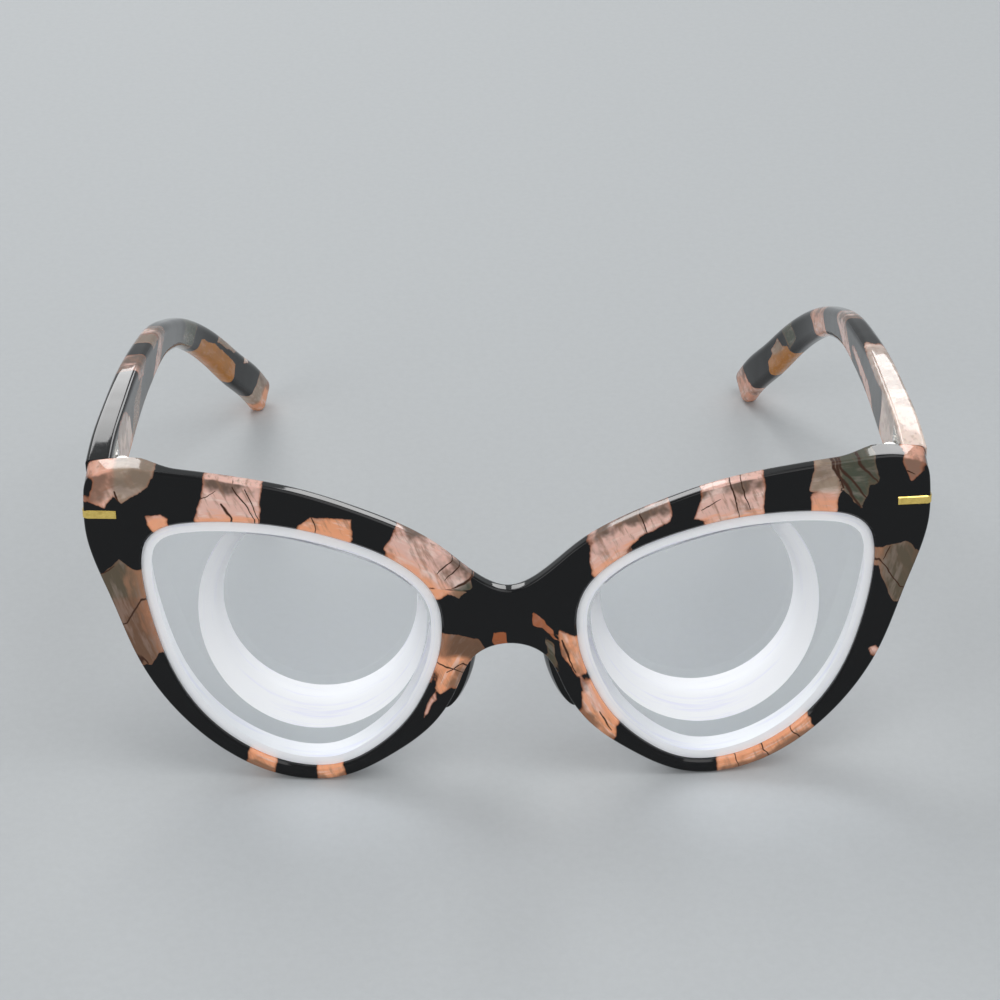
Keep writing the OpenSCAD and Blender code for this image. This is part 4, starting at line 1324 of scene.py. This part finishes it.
@dataclass
class Temple:
    """An acetate temple that bends down and inwards behind the ear.

    Args:
        front: the front that it closes on.
        reach: distance from the hinge to the tip, along Y.
        thick: thickness at the hinge and at the tip.
        high: height at the hinge, at the bend and at the tip.
        turn: distance that the tip turns inwards.
        gap: gap to the end piece.
        side_in: how far its outer face is set in from the front's side.
        nose: length of the tip's round end.
        bend_at: share of the reach at which it is lowest, and the share over which it then grows.
        rounding: radius of its long edges at the hinge, how much they grow and how fast.
        least_r: their least radius.
        bevel: bevel round its butt.
        inset: how far its inner face is set in.
        slant: how much the pattern shifts along it through its thickness.
        away: distance that keeps the front's drawn lines off it.
        line: knots as shares of the reach, of the turn and of the drop.
    """

    front: Front
    reach: float = 129
    thick: tuple[float, float] = (4.4, 3.6)
    high: tuple[float, float, float] = (11.2, 5.8, 7.4)
    turn: float = 16.8
    gap: float = 0.12
    side_in: float = 0.5
    nose: float = 2.6
    bend_at: tuple[float, float] = (0.65, 0.3)
    rounding: tuple[float, float, float] = (0.7, 0.8, 1.4)
    least_r: float = 0.2
    bevel: float = 0.18
    inset: float = 0.05
    slant: float = 0.4
    away: float = 50
    line: tuple = (
        (0, 0, 1), (0.07, 0, 1), (0.17, 0.03, 0.995), (0.29, 0.07, 0.98), (0.4, 0.12, 0.945),
        (0.5, 0.17, 0.895), (0.6, 0.22, 0.8), (0.69, 0.29, 0.69), (0.765, 0.42, 0.56), (0.83, 0.58, 0.41),
        (0.89, 0.745, 0.25), (0.945, 0.89, 0.115), (0.985, 0.985, 0))

    def path(self, tip_z: float) -> Array:
        """Middle line of the temple.

        Args:
            tip_z: height of the tip's centre.

        Returns:
            Points from the hinge to the tip.
        """
        low, high = box_mm("front_hinge_left")
        hinge_z = (low[2] + high[2]) / 2
        side = box_mm("frame_front")[1][0] - self.side_in - self.thick[0] / 2
        q = np.array(self.line)
        knots = np.stack([side - q[:, 1] * self.turn, self.front.butt + self.gap + q[:, 0] * self.reach,
                          tip_z + (hinge_z - tip_z) * q[:, 2]], axis=1)
        return open_curve(knots, steps=20)

    def rings(self, tip_z: float) -> tuple[Array, Array]:
        """Rounded rectangles set square to the middle line, with a bevelled butt and a round tip.

        Args:
            tip_z: height of the tip's centre.

        Returns:
            Points by ring and place round it, and for each its length along the line and its height.
        """
        line = self.path(tip_z)
        # The butt stands square to Y
        along = unit(np.gradient(line, axis=0))
        along[:2] = [0, 1, 0]
        length = np.concatenate([[0], np.cumsum(np.linalg.norm(np.diff(line, axis=0), axis=1))])
        f = (line[:, 1] - line[0, 1]) / self.reach
        high, bend, tip = self.high
        lowest, over = self.bend_at
        h = np.where(f < lowest, high + (bend - high) * smooth(f / lowest),
                     bend + (tip - bend) * smooth((f - lowest) / over))
        w = self.thick[0] + (self.thick[1] - self.thick[0]) * f
        least, more, fast = self.rounding
        r = least + more * smooth(f * fast)
        # Each ring by the point of the line that it stands at, its size, its push ahead and its trim
        angle = np.radians(np.arange(15, 90, 15))
        full, rings = np.ones(len(f)), len(f)
        which = np.concatenate([[0], np.arange(rings), np.full(len(angle), rings - 1)])
        grow = np.concatenate([[1], full, np.cos(angle)])
        push = np.concatenate([[0], [self.bevel], 0 * full[1:], self.nose * np.sin(angle)])
        trim = np.concatenate([[self.bevel], 0 * full, 0 * angle])
        # Its four rounded corners
        arc = np.radians(np.arange(0, 91, 15))
        size = len(arc)
        turn = (arc[None, :] + np.arange(4)[:, None] * math.pi / 2).ravel()
        sx, sz = np.repeat([1, -1, -1, 1], size), np.repeat([1, 1, -1, -1], size)
        hh = (h[which] * grow - 2 * trim)[:, None]
        ww = (w[which] * grow - 2 * trim)[:, None]
        rr = np.maximum(r[which] * grow - trim, self.least_r)[:, None]
        px = sx * (ww / 2 - rr) + rr * np.cos(turn)
        pz = sz * (hh / 2 - rr) + rr * np.sin(turn)
        # More points along the flat sides, where the acetate's pattern has to be fine
        marks = np.concatenate([size * c + np.concatenate([np.arange(size - 1), size - 1 + np.arange(m) / m])
                                for c, m in enumerate((6, 18, 6, 18))])
        low = np.floor(marks).astype(int) % (4 * size)
        up = (low + 1) % (4 * size)
        part = marks - np.floor(marks)
        across = px[:, low] * (1 - part) + px[:, up] * part
        rise = pz[:, low] * (1 - part) + pz[:, up] * part
        ahead = along[which]
        out = unit(np.stack([ahead[:, 1], -ahead[:, 0], 0 * ahead[:, 0]], axis=1))
        normal = np.cross(out, ahead)
        across = np.where(across < 0, across + self.inset, across)
        points = (line[which][:, None] + (push[:, None] * ahead)[:, None]
                  + across[..., None] * out[:, None] + rise[..., None] * normal[:, None])
        spot = np.stack([(length[which] + push)[:, None] + self.slant * across, rise], axis=-1)
        return points, spot

    def build(self, side: Side, material: bpy.types.Material) -> bpy.types.Object:
        """Makes the temple, with its tip resting on the floor.

        Args:
            side: the wearer's side.
            material: the acetate.

        Returns:
            The piece.
        """
        guess = -self.rings(0)[0][..., 2].min()
        tip_z = guess - self.rings(guess)[0][..., 2].min()
        points, spot = self.rings(tip_z)
        rings, size = points.shape[:2]
        before, last = self.path(tip_z)[-2:]
        end = last + unit(last - before) * self.nose
        spots = np.vstack([spot.reshape(-1, 2), spot[-1].mean(axis=0)])
        points, faces = on_side(side, np.vstack([points.reshape(-1, 3), end]), [
            grid_faces(rings, size)[:, ::-1], fan_faces(rings * size, (rings - 1) * size, size),
            np.arange(size)[None, ::-1]])
        values = pattern(spots, TEMPLE_PATCHES[side], spread=1.4)
        # Share up the temple, from its lower edge, where the acetate paints a glow, to its top, where it
        # paints a highlight
        values["across"] = np.clip(0.5 + spots[:, 1] / self.high[0], 0, 1)
        values["spot"] = np.hstack([spots, np.full((len(spots), 1), self.away)])
        piece = Skin(points, faces, None, values).piece(f"temple_{side.tag}_visual", [material])
        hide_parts(f"temple_{side.tag}")
        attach(piece, f"temple_{side.tag}")
        return piece


@dataclass
class NosePad:
    """Acetate nose pad cemented to the back of the nasal rim.

    Args:
        front: the front that it sits on.
        size: length, width and depth.
        centre: its place on the front, from the opening's nasal side and up.
        tilt: angle at which it leans over.
        lean: how far its crown leans towards the nose.
        gap: gap to the rim's back.
        profile: knots from its foot to its crown, as shares of its width and of its depth.
    """

    front: Front
    size: tuple[float, float, float] = (14, 4.2, 4)
    centre: tuple[float, float] = (-2.1, 19.6)
    tilt: float = 17
    lean: float = 1.6
    gap: float = 0.03
    profile: tuple = ((1, 0), (1.02, 0.3), (0.94, 0.62), (0.72, 0.86), (0.4, 1), (0, 1.05))

    def build(self, side: Side, material: bpy.types.Material) -> bpy.types.Object:
        """Makes the pad: ellipses that shrink along a smooth profile from its foot to its crown.

        Args:
            side: the wearer's side.
            material: the acetate.

        Returns:
            The piece.
        """
        length, width, depth = self.size
        rows = open_curve(np.array(self.profile), steps=6)
        grow, out = rows[:-1, :1], rows[:-1, 1:]
        rings, size = len(grow), 64
        t = np.linspace(0, 2 * math.pi, size + 1)[:-1][None]
        x, z = grow * width / 2 * np.cos(t), grow * length / 2 * np.sin(t)
        c, s = math.cos(math.radians(self.tilt)), math.sin(math.radians(self.tilt))
        u = self.front.bridge_w / 2 + self.centre[0] + x * c - z * s - self.lean * out
        v = self.centre[1] + x * s + z * c
        w = self.front.thick + self.gap + depth * np.minimum(out, 1) + 0 * t
        spots = np.stack([u.ravel(), v.ravel()], axis=1)
        points = self.front.place(u.ravel(), v.ravel(), w.ravel())
        points = np.vstack([points, points[-size:].mean(axis=0)])
        spots = np.vstack([spots, spots[-size:].mean(axis=0)])
        points, faces = on_side(side, points, [
            grid_faces(rings, size), fan_faces(rings * size, (rings - 1) * size, size, turned=True),
            np.arange(size)[None]])
        values = pattern(spots, FRONT_PATCHES[side])
        values["across"] = np.full(len(spots), 0.5)
        values["spot"] = np.hstack([spots * [side.value, 1], np.zeros((len(spots), 1))])
        piece = Skin(points, faces, None, values).piece(f"nose_pad_{side.tag}_visual", [material])
        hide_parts(f"nose_pad_{side.tag}")
        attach(piece, "front")
        return piece


@dataclass
class CornerBar:
    """Gold bar let into the corner of the end piece.

    Args:
        front: the front that it is let into.
        height: its height.
        length: its length across the front.
        thick: its thickness.
        proud: how far it stands out.
        drop: its place under the end piece's top.
        bevel: width of its bevelled edges.
        corner_r: radius of its outer corner.
        near: height over which the end piece's side is looked for.
        short: how far its side leg stops short of the plane on which the temple closes.
    """

    front: Front
    height: float = 1.9
    length: float = 5.6
    thick: float = 0.9
    proud: float = 0.2
    drop: float = 8.5
    bevel: float = 0.35
    corner_r: float = 1.0
    near: float = 3
    short: float = 0.5

    def build(self, side: Side, material: bpy.types.Material) -> bpy.types.Object:
        """Makes the bar: its L outline carried up in four rings, the outer two drawn in for the bevels.

        Args:
            side: the wearer's side.
            material: the gold.

        Returns:
            The piece.
        """
        v0 = self.front.top - self.drop
        near = np.abs(self.front.rim[:, 1] - v0) < self.near
        u0 = self.front.rim[near, 0].max()
        o, r, inner = self.proud, self.corner_r, self.thick - self.proud
        side_l = float(self.front.depth_at(np.array(u0), np.array(v0), self.front.butt)) - self.short
        arc = np.radians(np.arange(0, 91, 9))
        outline = np.vstack([
            [[-self.length, -o]], np.stack([o - r + r * np.sin(arc), r - o - r * np.cos(arc)], axis=1),
            [[o, side_l], [-inner, side_l], [-inner, inner], [-self.length, inner]]])
        out = -outward(outline)
        mitre = np.ones(len(outline))
        mitre[[0, -4, -3, -2, -1]] = math.sqrt(2)
        rings = []
        for inset, height in ((self.bevel, -0.5), (0, -0.5), (0, 0.5), (self.bevel, 0.5)):
            p = outline - (inset * mitre)[:, None] * out
            rise = height * (self.height - (0 if inset else 2 * self.bevel))
            rings.append(self.front.place(u0 + p[:, 0], np.full(len(p), v0 + rise),
                                          p[:, 1] + 0 * p[:, 0]))
        size = len(outline)
        j = np.arange(size)[None]
        caps = [j, (len(rings) - 1) * size + j[:, ::-1]]
        points, faces = on_side(side, np.vstack(rings), [grid_faces(len(rings), size), *caps])
        piece = Skin(points, faces).piece(f"corner_bar_{side.tag}", [material], sharp=30)
        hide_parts(f"corner_trim_{side.tag}")
        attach(piece, "front")
        return piece


@dataclass
class Hardware:
    """Hinge leaves, screws, rivets and temple wires, which keep the solids' own meshes.

    Args:
        nodes: beginning of the nodes' names, and the finish of each.
    """

    nodes: tuple[tuple[str, str], ...] = (
        ("front_hinge", "nickel"), ("temple_hinge", "nickel"), ("hinge_screw", "steel"),
        ("front_hinge_rivets", "steel"), ("temple_hinge_rivets", "steel"), ("temple_core", "wire"))

    def dress(self, finishes: dict[str, bpy.types.Material]) -> None:
        """Gives each node its finish.

        Args:
            finishes: materials by name.
        """
        for name, finish in self.nodes:
            for side in Side:
                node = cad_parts[f"{name}_{side.tag}"]
                for slot in node.material_slots:
                    slot.material = finishes[finish]
                log.info("dressed %s in %s", node.name, finish)


@dataclass(frozen=True)
class Lamp:
    """A soft square lamp that faces the object.

    Args:
        name: its name.
        spot: its place in metres.
        size: its side.
        power: its power in watts.
        aim: the point that it faces.
    """

    name: str
    spot: tuple[float, float, float]
    size: float
    power: float
    aim: tuple[float, float, float] = (0, 0, 0.03)

    def build(self) -> None:
        """Adds the lamp to the scene."""
        data = bpy.data.lights.new(self.name, "AREA")
        data.shape, data.size, data.energy = "SQUARE", self.size, self.power
        obj = bpy.data.objects.new(self.name, data)
        obj.location = self.spot
        obj.rotation_euler = (Vector(self.spot) - Vector(self.aim)).to_track_quat("Z", "Y").to_euler()
        bpy.context.scene.collection.objects.link(obj)


@dataclass
class Studio:
    """Camera, floor and lamps.

    Args:
        eye: place of the camera in metres.
        pitch: angle at which it looks down, in degrees.
        yaw: angle at which it looks aside.
        roll: angle at which it is turned.
        focal: focal length for a sensor 36 mm wide and a square picture.
        air: colour of the light from all round.
        glow: its strength.
        floor_half: half the floor's side in metres.
        lamps: the lamps.
    """

    eye: tuple[float, float, float] = (-0.00153, -0.50200, 0.30419)
    pitch: float = 29.935
    yaw: float = 0.046
    roll: float = -1.0129
    focal: float = 108
    air: tuple[float, float, float] = (0.86, 0.90, 0.94)
    glow: float = 0.3
    floor_half: float = 3.0
    lamps: tuple[Lamp, ...] = (
        Lamp("key", (-0.30, 0.50, 0.75), 0.5, 2.8), Lamp("top", (0.30, -0.25, 0.90), 0.6, 2.6),
        Lamp("fill", (0.25, -0.95, 0.60), 0.7, 3.0), Lamp("side", (-0.60, -0.70, 0.45), 0.5, 2.0),
        Lamp("back", (-0.25, 1.0, 0.43), 0.3, 1.2), Lamp("back", (0.25, 1.0, 0.43), 0.3, 1.2))

    def camera(self) -> bpy.types.Object:
        """Makes the camera that sees the object as the photograph does.

        Returns:
            The camera.
        """
        p, y, r = (math.radians(a) for a in (self.pitch, self.yaw, self.roll))
        look = Vector((math.sin(y) * math.cos(p), math.cos(y) * math.cos(p), -math.sin(p)))
        side = Vector((math.cos(y), -math.sin(y), 0))
        up = side.cross(look)
        right = math.cos(r) * side + math.sin(r) * up
        top = math.cos(r) * up - math.sin(r) * side
        data = bpy.data.cameras.new("camera")
        data.lens, data.sensor_width = self.focal, 36
        data.clip_start, data.clip_end = 0.01, 20
        obj = bpy.data.objects.new("camera", data)
        turn = Matrix((right, top, -look)).transposed().to_4x4()
        obj.matrix_world = Matrix.Translation(self.eye) @ turn
        bpy.context.scene.collection.objects.link(obj)
        bpy.context.scene.camera = obj
        return obj

    def build(self, paper: bpy.types.Material) -> None:
        """Makes the floor, the lamps and the pale surroundings.

        Args:
            paper: the floor's material.
        """
        h = self.floor_half
        mesh = bpy.data.meshes.new("floor")
        mesh.from_pydata([(-h, -h, 0), (h, -h, 0), (h, h, 0), (-h, h, 0)], [], [(0, 1, 2, 3)])
        mesh.materials.append(paper)
        floor = bpy.data.objects.new("floor", mesh)
        bpy.context.scene.collection.objects.link(floor)
        for lamp in self.lamps:
            lamp.build()
        world = bpy.data.worlds.new("world")
        bpy.context.scene.world = world
        world.use_nodes = True
        world.node_tree.nodes.clear()
        tree = Tree(world.node_tree)
        light = tree.add("Background", {"Color": (*self.air, 1), "Strength": self.glow})
        pale = tree.add("Background", {"Color": (*PALE, 1), "Strength": PALE_GLOW})
        mix = tree.add("MixShader", {0: tree.seen(), 1: light.outputs[0], 2: pale.outputs[0]})
        tree.link(mix.outputs[0], tree.add("OutputWorld"), "Surface")
        bpy.context.scene.view_settings.view_transform = "Standard"


def main() -> None:
    """Builds the pieces in order, from the camera to the hinge parts."""
    logging.basicConfig(level=logging.INFO, format="%(name)s: %(message)s")
    studio = Studio()
    studio.camera()
    wear = wear_group()
    acetate = Acetate().material(wear)
    glass = ClearGlass().material(wear)
    ground = GroundGlass().material(wear)
    metals = (
        Metal("gold", (0.92, 0.68, 0.20), (0.55, 0.38, 0.09), rough=0.16, brushed=0.25),
        Metal("nickel", (0.72, 0.70, 0.66), (0.40, 0.38, 0.34), rough=0.22, brushed=0.35),
        Metal("steel", (0.78, 0.77, 0.75), (0.45, 0.42, 0.38), rough=0.18, brushed=0.2),
        Metal("wire", (0.66, 0.66, 0.66), (0.35, 0.35, 0.35), rough=0.3, brushed=0.3))
    finishes = {metal.name: metal.material(wear) for metal in metals}
    studio.build(Paper().material())
    front = Front()
    made = [front.build(acetate)]
    lens, temple, pad, bar = Lens(front), Temple(front), NosePad(front), CornerBar(front)
    for side in Side:
        made += [lens.build(side, glass, ground), temple.build(side, acetate), pad.build(side, acetate),
                 bar.build(side, finishes["gold"])]
    for piece in made:
        log.info("made %s with %d faces", piece.name, len(piece.data.polygons))
    Hardware().dress(finishes)


if __name__ == "__main__":
    main()
